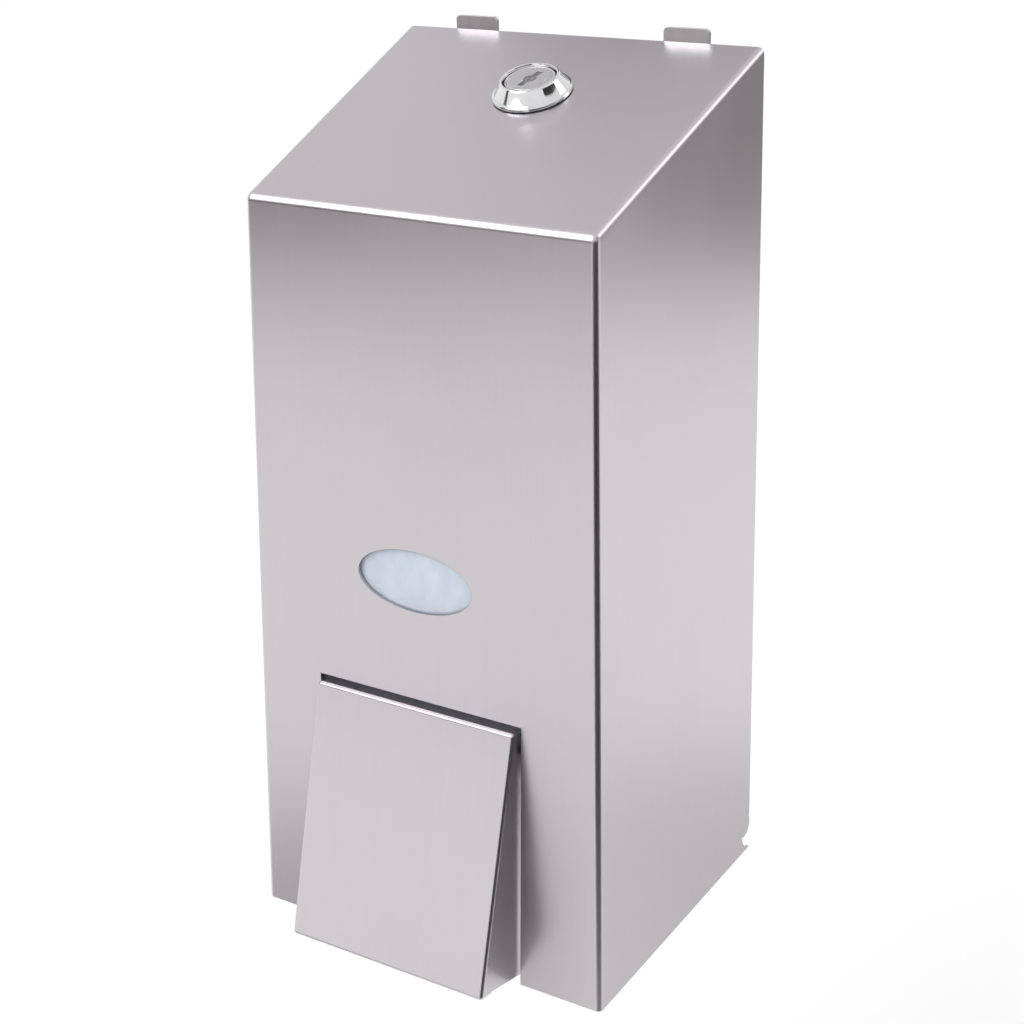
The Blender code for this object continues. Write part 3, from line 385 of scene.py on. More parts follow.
class Finish:
    """A Principled material with helpers for layering procedural detail."""

    def __init__(self, name, colour, roughness, metallic=0.0):
        self.material = bpy.data.materials.new(name)
        self.material.use_nodes = True
        self.nodes = self.material.node_tree.nodes
        self.links = self.material.node_tree.links
        self.shader = self.nodes["Principled BSDF"]
        self.shader.inputs["Base Color"].default_value = (*colour, 1.0)
        self.shader.inputs["Roughness"].default_value = roughness
        self.shader.inputs["Metallic"].default_value = metallic

    def coordinates(self, kind, scale):
        source = self.nodes.new("ShaderNodeTexCoord")
        mapping = self.nodes.new("ShaderNodeMapping")
        mapping.inputs["Scale"].default_value = scale
        self.links.new(source.outputs[kind], mapping.inputs["Vector"])
        return mapping.outputs["Vector"]

    def noise(self, kind, scale, detail=2.0, distortion=0.0):
        noise = self.nodes.new("ShaderNodeTexNoise")
        noise.inputs["Scale"].default_value = 1.0
        noise.inputs["Detail"].default_value = detail
        noise.inputs["Distortion"].default_value = distortion
        self.links.new(self.coordinates(kind, scale), noise.inputs["Vector"])
        return noise.outputs["Fac"]

    def cells(self, kind, scale):
        voronoi = self.nodes.new("ShaderNodeTexVoronoi")
        voronoi.inputs["Scale"].default_value = 1.0
        self.links.new(self.coordinates(kind, scale), voronoi.inputs["Vector"])
        grey = self.nodes.new("ShaderNodeSeparateColor")
        self.links.new(voronoi.outputs["Color"], grey.inputs["Color"])
        return grey.outputs["Red"]

    def spread(self, value, low, high, from_low=0.3, from_high=0.7):
        """The value's middle stretch mapped to low..high."""
        node = self.nodes.new("ShaderNodeMapRange")
        node.inputs["From Min"].default_value = from_low
        node.inputs["From Max"].default_value = from_high
        node.inputs["To Min"].default_value = low
        node.inputs["To Max"].default_value = high
        self.links.new(value, node.inputs["Value"])
        return node.outputs["Result"]

    def sum(self, first, second):
        node = self.nodes.new("ShaderNodeMath")
        node.operation = "ADD"
        self.links.new(first, node.inputs[0])
        self.links.new(second, node.inputs[1])
        return node.outputs["Value"]

    def colour(self, value, dark, light, from_low=0.3, from_high=0.7):
        ramp = self.nodes.new("ShaderNodeValToRGB")
        ramp.color_ramp.elements[0].position = from_low
        ramp.color_ramp.elements[0].color = (*dark, 1.0)
        ramp.color_ramp.elements[1].position = from_high
        ramp.color_ramp.elements[1].color = (*light, 1.0)
        self.links.new(value, ramp.inputs["Fac"])
        self.links.new(ramp.outputs["Color"], self.shader.inputs["Base Color"])

    def roughness(self, value):
        self.links.new(value, self.shader.inputs["Roughness"])

    def bump(self, value, height):
        """Relief of the given height in metres; calls can be stacked."""
        node = self.nodes.new("ShaderNodeBump")
        node.inputs["Strength"].default_value = 1.0
        node.inputs["Distance"].default_value = height
        self.links.new(value, node.inputs["Height"])
        socket = self.shader.inputs["Normal"]
        if socket.is_linked:
            self.links.new(socket.links[0].from_socket, node.inputs["Normal"])
        self.links.new(node.outputs["Normal"], socket)


def tint(colour, share):
    return tuple(c * share for c in colour)


def brushed(name, colour, roughness, kind, fine, broad, contrast, relief):
    """Brushed sheet: fine and broad count the streaks per metre across, along and into the sheet."""
    finish = Finish(name, colour, roughness, 1.0)
    hair = finish.noise(kind, fine, detail=3.0)
    streak = finish.noise(kind, broad, detail=2.0)
    cloud = finish.noise("Object", (38.0, 38.0, 30.0), detail=2.0)
    both = finish.spread(finish.sum(hair, streak), 0.0, 1.0, 0.75, 1.25)
    finish.colour(both, tint(colour, 1.0 - contrast), tint(colour, 1.0 + contrast), 0.0, 1.0)
    grain = finish.spread(both, roughness - 1.5 * contrast, roughness + 1.5 * contrast, 0.0, 1.0)
    finish.roughness(finish.sum(grain, finish.spread(cloud, -0.02, 0.02)))
    finish.bump(hair, relief)
    return finish.material


def make_finishes():
    steel = (0.618, 0.586, 0.611)
    finishes = {
        "sheet": brushed("brushed_steel", steel, 0.32, "UV", (6500.0, 130.0, 1.0), (900.0, 14.0, 1.0), 0.009,
                         0.0000002),
        "plate": brushed("brushed_push_plate", tint(steel, 1.04), 0.32, "UV", (6500.0, 120.0, 1.0),
                         (950.0, 15.0, 1.0), 0.009, 0.0000002),
        "back": brushed("rough_brushed_back_plate", (0.66, 0.635, 0.645), 0.36, "UV", (3600.0, 160.0, 1.0),
                        (520.0, 40.0, 1.0), 0.03, 0.0000006),
    }

    chrome = Finish("bright_chrome", (0.83, 0.83, 0.84), 0.07, 1.0)
    haze = chrome.noise("Object", (420.0, 420.0, 420.0), detail=4.0)
    chrome.roughness(chrome.spread(haze, 0.05, 0.12))
    chrome.colour(haze, (0.80, 0.80, 0.81), (0.86, 0.86, 0.87))
    chrome.bump(haze, 0.0000015)
    finishes["chrome"] = chrome.material

    cast = Finish("satin_lock_metal", (0.66, 0.65, 0.66), 0.34, 1.0)
    frost = cast.noise("Object", (5200.0, 5200.0, 5200.0), detail=3.0)
    wear = cast.noise("Object", (700.0, 700.0, 700.0), detail=4.0, distortion=0.8)
    cast.roughness(cast.sum(cast.spread(frost, 0.27, 0.38), cast.spread(wear, -0.04, 0.05)))
    cast.colour(wear, (0.60, 0.59, 0.60), (0.72, 0.71, 0.72))
    cast.bump(frost, 0.000003)
    finishes["lock"] = cast.material

    zinc = Finish("zinc_plating", (0.55, 0.55, 0.56), 0.38, 1.0)
    spangle = zinc.cells("Object", (260.0, 260.0, 260.0))
    blush = zinc.noise("Object", (90.0, 90.0, 90.0), detail=4.0, distortion=0.6)
    pits = zinc.noise("Object", (2600.0, 2600.0, 2600.0), detail=3.0)
    zinc.colour(zinc.sum(zinc.spread(blush, 0.1, 0.6), zinc.spread(spangle, 0.0, 0.4, 0.0, 1.0)),
                (0.47, 0.475, 0.49), (0.63, 0.625, 0.61), 0.15, 0.85)
    zinc.roughness(zinc.sum(zinc.spread(pits, 0.30, 0.42), zinc.spread(spangle, -0.04, 0.05, 0.0, 1.0)))
    zinc.bump(pits, 0.000005)
    finishes["zinc"] = zinc.material

    spring = Finish("drawn_spring_wire", (0.52, 0.52, 0.53), 0.25, 1.0)
    drawn = spring.noise("Object", (3000.0, 3000.0, 900.0), detail=2.0)
    spring.colour(drawn, (0.45, 0.45, 0.46), (0.60, 0.60, 0.60))
    spring.roughness(spring.spread(drawn, 0.20, 0.36))
    spring.bump(drawn, 0.000003)
    finishes["spring"] = spring.material

    tank = Finish("milky_tank_plastic", (0.78, 0.85, 0.90), 0.34)
    tank.shader.inputs["Subsurface Weight"].default_value = 0.35
    tank.shader.inputs["Subsurface Radius"].default_value = (0.004, 0.005, 0.006)
    tank.shader.inputs["Subsurface Scale"].default_value = 1.0
    flow = tank.noise("Object", (55.0, 55.0, 20.0), detail=3.0, distortion=1.2)
    orange = tank.noise("Object", (1100.0, 1100.0, 1100.0), detail=2.0)
    tank.colour(flow, (0.74, 0.82, 0.88), (0.83, 0.885, 0.92))
    tank.roughness(tank.spread(orange, 0.28, 0.42))
    tank.bump(orange, 0.000012)
    finishes["tank"] = tank.material

    lens = Finish("pale_window_plastic", (0.50, 0.55, 0.62), 0.18)
    ripple = lens.noise("Object", (240.0, 240.0, 160.0), detail=2.0)
    lens.colour(ripple, (0.46, 0.51, 0.58), (0.54, 0.585, 0.655))
    lens.roughness(lens.spread(ripple, 0.12, 0.26))
    lens.bump(ripple, 0.00002)
    finishes["lens"] = lens.material

    white = Finish("white_moulded_plastic", (0.84, 0.845, 0.84), 0.40)
    texture = white.noise("Object", (1900.0, 1900.0, 1900.0), detail=2.0)
    shade = white.noise("Object", (70.0, 70.0, 70.0), detail=3.0)
    white.colour(shade, (0.79, 0.795, 0.785), (0.87, 0.875, 0.87))
    white.roughness(white.spread(texture, 0.33, 0.48))
    white.bump(texture, 0.00001)
    finishes["white"] = white.material

    rubber = Finish("black_rubber", (0.035, 0.035, 0.036), 0.66)
    dust = rubber.noise("Object", (420.0, 420.0, 420.0), detail=5.0)
    grit = rubber.noise("Object", (3000.0, 3000.0, 3000.0), detail=2.0)
    rubber.colour(dust, (0.025, 0.025, 0.026), (0.060, 0.060, 0.059))
    rubber.roughness(rubber.spread(dust, 0.56, 0.78))
    rubber.bump(grit, 0.000014)
    finishes["rubber"] = rubber.material
    return finishes


FINISHES = make_finishes()


# ---------------------------------------------------------------- mesh helpers

def new_object(name, mesh):
    obj = bpy.data.objects.new(name, mesh)
    bpy.context.scene.collection.objects.link(obj)
    return obj


def mesh_from(name, bm):
    mesh = bpy.data.meshes.new(name)
    bm.to_mesh(mesh)
    bm.free()
    return mesh


def outward_mesh(name, bm):
    bmesh.ops.recalc_face_normals(bm, faces=bm.faces)
    return mesh_from(name, bm)


def block(name, low, high):
    bm = bmesh.new()
    bmesh.ops.create_cube(bm, size=1.0)
    low, high = Vector(low), Vector(high)
    for vert in bm.verts:
        vert.co = Vector(lo + (hi - lo) * (c + 0.5) for lo, hi, c in zip(low, high, vert.co))
    return outward_mesh(name, bm)


def rod(name, start, end, radius, segments=64):
    start, end = Vector(start), Vector(end)
    along = end - start
    turn = along.to_track_quat("Z", "Y").to_matrix().to_4x4()
    bm = bmesh.new()
    bmesh.ops.create_cone(bm, cap_ends=True, segments=segments, radius1=radius, radius2=radius,
                          depth=along.length, matrix=Matrix.Translation((start + end) / 2) @ turn)
    return outward_mesh(name, bm)


def cross_rod(name, half_length, y, z, radius, segments=64):
    """A rod along X, centred on the middle plane."""
    return rod(name, (-half_length, y, z), (half_length, y, z), radius, segments)


def upright_rod(name, y, start, end, radius):
    """A rod along Z, in the middle plane."""
    return rod(name, (0.0, y, start), (0.0, y, end), radius)


def prism(name, outline, low, high):
    """A closed outline in X and Y, extended from one height to another."""
    bm = bmesh.new()
    bottom = [bm.verts.new((x, y, low)) for x, y in outline]
    top = [bm.verts.new((x, y, high)) for x, y in outline]
    bm.faces.new(bottom)
    bm.faces.new(list(reversed(top)))
    count = len(outline)
    for i in range(count):
        j = (i + 1) % count
        bm.faces.new((bottom[i], top[i], top[j], bottom[j]))
    return outward_mesh(name, bm)


def lathe(name, profile, steps, closed=False, shape=None):
    """A (radius, height) profile turned about Z. shape(angle, radius, height) may change the radius."""
    bm = bmesh.new()
    rings = []
    for radius, height in profile:
        if radius < 1e-7:
            rings.append([bm.verts.new((0.0, 0.0, height))])
            continue
        ring = []
        for i in range(steps):
            angle = 2.0 * math.pi * i / steps
            size = shape(angle, radius, height) if shape else radius
            ring.append(bm.verts.new((size * math.cos(angle), size * math.sin(angle), height)))
        rings.append(ring)
    pairs = list(zip(rings, rings[1:]))
    if closed:
        pairs.append((rings[-1], rings[0]))
    for lower, upper in pairs:
        for i in range(steps):
            j = (i + 1) % steps
            quad = [ring[k % len(ring)] for ring, k in ((lower, i), (lower, j), (upper, j), (upper, i))]
            corners = list(dict.fromkeys(quad))
            if len(corners) > 2:
                bm.faces.new(corners)
    return outward_mesh(name, bm)


def arc(centre, radius, start, end, count):
    angles = [math.radians(start + (end - start) * i / count) for i in range(count + 1)]
    return [(centre[0] + radius * math.cos(a), centre[1] + radius * math.sin(a)) for a in angles]


def oval(half_x, half_y, count=96):
    angles = [2.0 * math.pi * i / count for i in range(count)]
    return [(half_x * math.cos(a), half_y * math.sin(a)) for a in angles]


def along_axis(origin, axis):
    spin = Vector(axis).to_track_quat("Z", "Y").to_matrix().to_4x4()
    return Matrix.Translation(origin) @ spin


def bend(obj, width, segments, angle=30.0):
    modifier = obj.modifiers.new("bend", "BEVEL")
    modifier.width = width
    modifier.segments = segments
    modifier.limit_method = "ANGLE"
    modifier.angle_limit = math.radians(angle)
    modifier.miter_outer = "MITER_ARC"


def thicken(obj, thickness, offset=-1.0):
    modifier = obj.modifiers.new("sheet", "SOLIDIFY")
    modifier.thickness = thickness
    modifier.offset = offset
    modifier.use_even_offset = True


def boolean(obj, mesh, operation="DIFFERENCE", matrix=None):
    tool = new_object(mesh.name, mesh)
    if matrix is not None:
        tool.matrix_world = matrix
    modifier = obj.modifiers.new(operation.lower(), "BOOLEAN")
    modifier.operation = operation
    modifier.solver = "EXACT"
    modifier.object = tool
    return tool


def settle(obj, matrix=None):
    """The object's mesh with its modifiers and its place applied, and the boolean tools removed."""
    bpy.context.view_layer.update()
    if matrix is not None:
        obj.matrix_world = matrix
        bpy.context.view_layer.update()
    graph = bpy.context.evaluated_depsgraph_get()
    mesh = bpy.data.meshes.new_from_object(obj.evaluated_get(graph))
    mesh.transform(obj.matrix_world)
    tools = [m.object for m in obj.modifiers if m.type == "BOOLEAN"]
    obj.modifiers.clear()
    obj.matrix_world = Matrix.Identity(4)
    obj.data = mesh
    mesh.name = obj.name
    for tool in tools:
        bpy.data.objects.remove(tool, do_unlink=True)


def rounded_block(name, low, high, radius, segments):
    obj = new_object(name, block(name, low, high))
    bend(obj, radius, segments)
    settle(obj)
    mesh = obj.data
    bpy.data.objects.remove(obj, do_unlink=True)
    return mesh


def clean(mesh, merge=0.000002, flat=0.4):
    """Doubles merged and faces that lie in one plane joined."""
    bm = bmesh.new()
    bm.from_mesh(mesh)
    bmesh.ops.remove_doubles(bm, verts=bm.verts, dist=merge)
    bmesh.ops.dissolve_limit(bm, angle_limit=math.radians(flat), verts=bm.verts, edges=bm.edges)
    bm.to_mesh(mesh)
    bm.free()


def smooth(obj, angle=38.0):
    obj.data.shade_smooth()
    obj.data.set_sharp_from_angle(angle=math.radians(angle))


def ease_edges(obj, width, segments=2, angle=38.0):
    """A small round on every sharp edge, with the flats kept flat."""
    modifier = obj.modifiers.new("edge", "BEVEL")
    modifier.width = width
    modifier.segments = segments
    modifier.limit_method = "ANGLE"
    modifier.angle_limit = math.radians(angle)
    modifier.use_clamp_overlap = True
    modifier.harden_normals = False
    weighted = obj.modifiers.new("normals", "WEIGHTED_NORMAL")
    weighted.keep_sharp = True


def dress(obj, finish, body, *nodes):
    obj.data.materials.clear()
    obj.data.materials.append(FINISHES[finish])
    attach(obj, body)
    if nodes:
        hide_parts(*nodes)
    return obj


def brush_map(obj):
    """UVs in metres for the grain: across the brushing and along it, which runs up every face."""
    mesh = obj.data
    layer = mesh.uv_layers.get("grain") or mesh.uv_layers.new(name="grain")
    for face in mesh.polygons:
        normal = face.normal
        for loop in face.loop_indices:
            point = mesh.vertices[mesh.loops[loop].vertex_index].co
            if abs(normal.x) > 0.75:
                uv = (point.y + math.copysign(0.3, normal.x), point.z)
            elif abs(normal.z) > 0.7:
                uv = (point.x, point.y + 0.5)
            else:
                uv = (point.x, point.z)
            layer.data[loop].uv = uv


# ---------------------------------------------------------------- the cover's planes

def half_width(y, height):
    return COVER_HALF_WIDTH + SIDE_FLARE * (y - FRONT_BOTTOM_Y) - SIDE_TAPER * height


def front_y(height):
    return FRONT_BOTTOM_Y + (FRONT_TOP_Y - FRONT_BOTTOM_Y) * height / FRONT_HEIGHT


TOP_SLOPE = math.atan2(REAR_HEIGHT - FRONT_HEIGHT, REAR_Y - FRONT_TOP_Y)
LOCK_FOOT = Vector((LOCK_X, LOCK_Y, BASE + FRONT_HEIGHT + (LOCK_Y - FRONT_TOP_Y) * math.tan(TOP_SLOPE)))
LOCK_OUT = Vector((0.0, -math.sin(TOP_SLOPE), math.cos(TOP_SLOPE)))
RIGHT = Vector((1.0, 0.0, 0.0))
UPSLOPE = LOCK_OUT.cross(RIGHT)
HINGE_Z = BASE + HINGE_HEIGHT


def window_matrix():
    lean = math.atan2(FRONT_TOP_Y - FRONT_BOTTOM_Y, FRONT_HEIGHT)
    up = Vector((0.0, math.sin(lean), math.cos(lean)))
    matrix = Matrix((RIGHT, up, RIGHT.cross(up))).transposed().to_4x4()
    matrix.translation = Vector((WINDOW_X, front_y(WINDOW_HEIGHT), BASE + WINDOW_HEIGHT))
    return matrix


def plate_matrix():
    down = Vector((0.0, -math.sin(PLATE_TILT), -math.cos(PLATE_TILT)))
    matrix = Matrix((RIGHT, down, RIGHT.cross(down))).transposed().to_4x4()
    matrix.translation = Vector((PLATE_X, PLATE_TOP_Y, BASE + PLATE_TOP_HEIGHT))
    return matrix


LEVER_AXIS = plate_matrix() @ Vector((0.0, LEVER_DOWN, LEVER_BACK))


# ---------------------------------------------------------------- cover and push plate

def make_cover():
    bm = bmesh.new()
    outline = (
        (FRONT_BOTTOM_Y, 0.0), (REAR_Y, REAR_BOTTOM), (REAR_Y, REAR_HEIGHT), (FRONT_TOP_Y, FRONT_HEIGHT),
    )
    left, right = [
        [bm.verts.new((side * half_width(y, h), y, BASE + h)) for y, h in outline] for side in (-1, 1)
    ]
    bm.faces.new((left[0], right[0], right[3], left[3]))
    bm.faces.new((left[3], right[3], right[2], left[2]))
    bm.faces.new(right)
    bm.faces.new(list(reversed(left)))
    cover = new_object("cover_shell", mesh_from("cover_shell", bm))
    bend(cover, BEND_RADIUS, COVER_BEND_STEPS)
    thicken(cover, COVER_SHEET)
    slot_half = PLATE_HALF_WIDTH + SLOT_SIDE_GAP
    slot_low = (PLATE_X - slot_half, FRONT_BOTTOM_Y - CUTTER_REACH, BASE - CUTTER_REACH)
    slot_high = (PLATE_X + slot_half, FRONT_BOTTOM_Y + SLOT_CUTTER_DEPTH, BASE + SLOT_TOP)
    boolean(cover, block("slot_tool", slot_low, slot_high))
    window = oval(WINDOW_HALF_WIDTH, WINDOW_HALF_HEIGHT)
    boolean(cover, prism("window_tool", window, -CUTTER_REACH, CUTTER_REACH), matrix=window_matrix())
    boolean(cover, rod("lock_tool", LOCK_FOOT - LOCK_OUT * CUTTER_REACH, LOCK_FOOT + LOCK_OUT * CUTTER_REACH,
                       LOCK_HOLE_RADIUS))
    boolean(cover, cross_rod("notch_tool", NOTCH_CUTTER_HALF, HINGE_Y, HINGE_Z, NOTCH_RADIUS))
    settle(cover)
    clean(cover.data, flat=0.2)
    smooth(cover)
    ease_edges(cover, SHEET_EDGE, SHEET_EDGE_STEPS)
    settle(cover)
    brush_map(cover)
    dress(cover, "sheet", "cover", "cover")


def make_push_plate():
    half = PLATE_HALF_WIDTH
    bm = bmesh.new()
    front = [bm.verts.new((x, y, 0.0)) for x, y in (
        (-half, 0.0), (half, 0.0), (half, PLATE_LENGTH), (-half, PLATE_LENGTH))]
    rear = [[bm.verts.new((x, y, z)) for y, z in ((0.0, PLATE_TOP_DEPTH), (PLATE_LENGTH, PLATE_BOTTOM_DEPTH))]
            for x in (-half, half)]
    lip = [bm.verts.new((x, PLATE_LENGTH, PLATE_LIP)) for x in (-half, half)]
    bm.faces.new(front)
    bm.faces.new((front[0], rear[0][0], rear[1][0], front[1]))
    bm.faces.new((front[3], lip[0], rear[0][1], rear[0][0], front[0]))
    bm.faces.new((front[1], rear[1][0], rear[1][1], lip[1], front[2]))
    bm.faces.new((front[2], lip[1], lip[0], front[3]))
    plate = new_object("push_plate_sheet", outward_mesh("push_plate_sheet", bm))
    bend(plate, PLATE_BEND_RADIUS, PLATE_BEND_STEPS)
    thicken(plate, PLATE_SHEET)
    settle(plate, plate_matrix())
    boolean(plate, cross_rod("lever_hole_tool", LEVER_CUTTER_HALF, LEVER_AXIS.y, LEVER_AXIS.z,
                             LEVER_ROD_RADIUS + GAP, 32))
    settle(plate)
    clean(plate.data, flat=0.2)
    smooth(plate)
    ease_edges(plate, SHEET_EDGE, SHEET_EDGE_STEPS)
    settle(plate)
    brush_map(plate)
    dress(plate, "plate", "push_plate", "push_plate")


def make_window():
    """A domed lens in the opening, with its flange behind the sheet."""
    lens = new_object("window_dome", window_dome_mesh())
    settle(lens, window_matrix())
    smooth(lens, 45.0)
    dress(lens, "lens", "cover", "window_lens")


def window_dome_mesh():
    """Ovals from the middle of the lens out to the flange's edge, each two half sizes and a depth."""
    edge_x, edge_y = WINDOW_HALF_WIDTH - GAP, WINDOW_HALF_HEIGHT - GAP
    face = -COVER_SHEET - LENS_RECESS
    flange_top = -COVER_SHEET - GAP
    flange = (edge_x + LENS_FLANGE_WIDTH, edge_y + LENS_FLANGE_WIDTH)
    rings = []
    for i in range(1, LENS_RINGS + 1):
        share = i / LENS_RINGS
        rings.append((edge_x * share, edge_y * share, face + LENS_DOME * (1.0 - share * share)))
    rings.append((edge_x, edge_y, flange_top))
    rings.append((*flange, flange_top))
    rings.append((*flange, flange_top - LENS_FLANGE_SHEET))
    bm = bmesh.new()
    loops = [[bm.verts.new((x, y, z)) for x, y in oval(half_x, half_y)] for half_x, half_y, z in rings]
    count = len(loops[0])
    middle = bm.verts.new((0.0, 0.0, face + LENS_DOME))
    for i in range(count):
        bm.faces.new((middle, loops[0][i], loops[0][(i + 1) % count]))
    for inner, outer in zip(loops, loops[1:]):
        for i in range(count):
            j = (i + 1) % count
            bm.faces.new((inner[i], outer[i], outer[j], inner[j]))
    bm.faces.new(list(reversed(loops[-1])))
    return outward_mesh("window_dome", bm)


# ---------------------------------------------------------------- lock

def make_lock_body():
    """The barrel and its conical bezel, with a rounded lip round the plug and a small foot on the sheet."""
    bore = PLUG_RADIUS + GAP
    rim, top, edge = bore + BEZEL_LIP, BEZEL_HEIGHT, BEZEL_RADIUS
    lip = [(bore, top - 0.0004), (bore + 0.0001, top - 0.0001), (bore + 0.0003, top),
           (rim, top), (rim + 0.0002, top - 0.0001), (rim + 0.0004, top - 0.0004)]
    foot = [(edge - 0.0008, BEZEL_FOOT_HEIGHT), (edge - 0.00055, 0.00115), (edge - 0.0003, 0.0011),
            (edge - 0.0001, 0.001), (edge, 0.0008), (edge, GAP)]
    barrel = [(BARREL_RADIUS, GAP), (BARREL_RADIUS, -BARREL_LENGTH), (bore, -BARREL_LENGTH)]
    profile = lip + foot + barrel
    body = new_object("lock_bezel", lathe("lock_bezel", profile, 128, closed=True))
    settle(body, along_axis(LOCK_FOOT, LOCK_OUT))
    smooth(body, 42.0)
    dress(body, "chrome", "cover", "lock_body")


def make_lock_nut():
    """A chamfered hexagon nut behind the sheet."""
    top = -COVER_SHEET - 2 * GAP
    corners = [math.radians(60 * i) for i in range(6)]
    hexagon = [(NUT_RADIUS * math.cos(a), NUT_RADIUS * math.sin(a)) for a in corners]
    nut = new_object("lock_hex_nut", prism("lock_hex_nut", hexagon, -NUT_DEPTH, top))
    boolean(nut, rod("nut_bore_tool", (0.0, 0.0, -CUTTER_REACH), (0.0, 0.0, CUTTER_REACH),
                     BARREL_RADIUS + GAP, 48))
    cone = [(0.0, 0.0), (NUT_RADIUS + NUT_CHAMFER_FLARE, 0.0), (NUT_RADIUS - NUT_CHAMFER_INSET, -NUT_DEPTH),
            (0.0, -NUT_DEPTH)]
    boolean(nut, lathe("nut_chamfer_tool", cone, 64), "INTERSECT")
    settle(nut)
    clean(nut.data)
    smooth(nut)
    ease_edges(nut, NUT_EDGE)
    settle(nut, along_axis(LOCK_FOOT, LOCK_OUT))
    dress(nut, "zinc", "cover", "lock_nut")


def make_lock_plug():
    """The turning plug with its double-bit key slot."""
    edge, shaft = PLUG_RADIUS, PLUG_SHAFT_RADIUS
    face = BEZEL_HEIGHT - PLUG_FACE_DROP
    groove = face - PLUG_GROOVE_DEPTH
    shoulder = -BARREL_LENGTH - PLUG_SHOULDER_GAP
    end = -CAM_DEPTH - CAM_SHEET
    profile = [(0.0, face), (edge - 0.00075, face), (edge - 0.00065, groove), (edge - 0.0005, groove),
               (edge - 0.0004, face), (edge - 0.0002, face), (edge, face - 0.0002), (edge, shoulder),
               (shaft, shoulder), (shaft, end), (0.0, end)]
    plug = new_object("key_plug", lathe("key_plug", profile, 96))
    settle(plug, along_axis(LOCK_FOOT, LOCK_OUT))
    along = (RIGHT * KEY_LEAN.x + UPSLOPE * KEY_LEAN.y).normalized()
    key = Matrix((along, LOCK_OUT.cross(along), LOCK_OUT)).transposed().to_4x4()
    key.translation = LOCK_FOOT + LOCK_OUT * face
    slot = block("key_slot_tool", (-KEY_SLOT_HALF_LENGTH, -KEY_SLOT_HALF_WIDTH, -KEY_SLOT_DEPTH),
                 (KEY_SLOT_HALF_LENGTH, KEY_SLOT_HALF_WIDTH, KEY_CUTTER_TOP))
    centre = rod("key_centre_tool", (0.0, 0.0, -KEY_SLOT_DEPTH), (0.0, 0.0, KEY_CUTTER_TOP),
                 KEY_CENTRE_RADIUS, 40)
    boolean(plug, slot, matrix=key)
    boolean(plug, centre, matrix=key)
    settle(plug)
    clean(plug.data, flat=0.2)
    smooth(plug)
    ease_edges(plug, PLUG_EDGE)
    settle(plug)
    dress(plug, "lock", "lock_plug", "lock_plug")


# ---------------------------------------------------------------- back plate and hinge

def rivet_places():
    stems = ("shelf_rivet", "catch_rivet", "ear_rivet")
    names = [stem + side for stem in stems for side in ("_left", "_right")]
    places = {}
    for name in names:
        low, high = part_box(name)
        places[name] = ((low.x + high.x) / 2, (low.z + high.z) / 2 - BASE)
    return places


def back_cutter(x, height, radius, segments):
    """A cutter straight through the back plate."""
    return rod("hole_tool", (x, -HOLE_CUTTER_HALF, BASE + height), (x, HOLE_CUTTER_HALF, BASE + height),
               radius, segments)


def pan_surface():
    """The pan's outer surface, its top rim turned up into two tabs with rounded corners."""
    def rim(side, y, height):
        return (side * (half_width(REAR_Y, height) - BACK_INSET), y, BASE + height)

    bm = bmesh.new()
    wall = [bm.verts.new(rim(s, 0.0, BACK_BOTTOM)) for s in (-1, 1)]
    edge = rim(1, 0.0, BACK_TOP)[0]
    xs = [-edge, -TAB_OUTER_X, -TAB_INNER_X, TAB_INNER_X, TAB_OUTER_X, edge]
    top_wall = [bm.verts.new((x, 0.0, BASE + BACK_TOP)) for x in xs]
    top_rim = [bm.verts.new((x, BACK_RIM_Y, BASE + BACK_TOP)) for x in xs]
    low_rim = [bm.verts.new(rim(s, BACK_RIM_Y, BACK_BOTTOM)) for s in (-1, 1)]
    bm.faces.new([wall[0]] + top_wall + [wall[1]])
    for i in range(len(xs) - 1):
        bm.faces.new((top_wall[i], top_rim[i], top_rim[i + 1], top_wall[i + 1]))
    bm.faces.new((wall[0], low_rim[0], top_rim[0], top_wall[0]))
    bm.faces.new((wall[1], top_wall[-1], top_rim[-1], low_rim[1]))
    bm.faces.new((wall[0], wall[1], low_rim[1], low_rim[0]))
    corner_z = BASE + TAB_TOP - TAB_CORNER
    for i in (1, 3):
        tip = arc((xs[i] + TAB_CORNER, corner_z), TAB_CORNER, 180, 90, TAB_CORNER_STEPS)
        tip += arc((xs[i + 1] - TAB_CORNER, corner_z), TAB_CORNER, 90, 0, TAB_CORNER_STEPS)
        outline = [bm.verts.new((x, BACK_RIM_Y, z)) for x, z in tip]
        bm.faces.new([top_rim[i]] + outline + [top_rim[i + 1]])
    bmesh.ops.recalc_face_normals(bm, faces=bm.faces)
    base = max(bm.faces, key=lambda face: face.calc_area())
    base.normal_update()
    if base.normal.y < 0:
        bmesh.ops.reverse_faces(bm, faces=bm.faces)
    return mesh_from("back_pan", bm)


def make_back_plate():
    """A shallow pan against the wall, with screw and rivet holes and gaps for the hinge ears."""
    pan = new_object("back_pan", pan_surface())
    thicken(pan, PLATE_WALL)
    for x in (-SCREW_HOLE_X, SCREW_HOLE_X):
        for height in SCREW_HOLE_HEIGHTS:
            boolean(pan, back_cutter(x, height, SCREW_HOLE_RADIUS, 40))
    for x, height in rivet_places().values():
        boolean(pan, back_cutter(x, height, RIVET_RADIUS + GAP, 32))
    for side in (-1, 1):
        left, right = sorted((side * EAR_GAP_INNER_X, side * EAR_GAP_OUTER_X))
        boolean(pan, block("ear_gap_tool", (left, -CUTTER_REACH, BASE - CUTTER_REACH),
                           (right, -PLATE_WALL - EAR_GAP_CLEARANCE, BASE + EAR_GAP_HEIGHT)))
    settle(pan)
    clean(pan.data)
    smooth(pan)
    ease_edges(pan, PAN_EDGE, PAN_EDGE_STEPS)
    settle(pan)
    brush_map(pan)
    dress(pan, "back", "wall_unit", "back_plate")


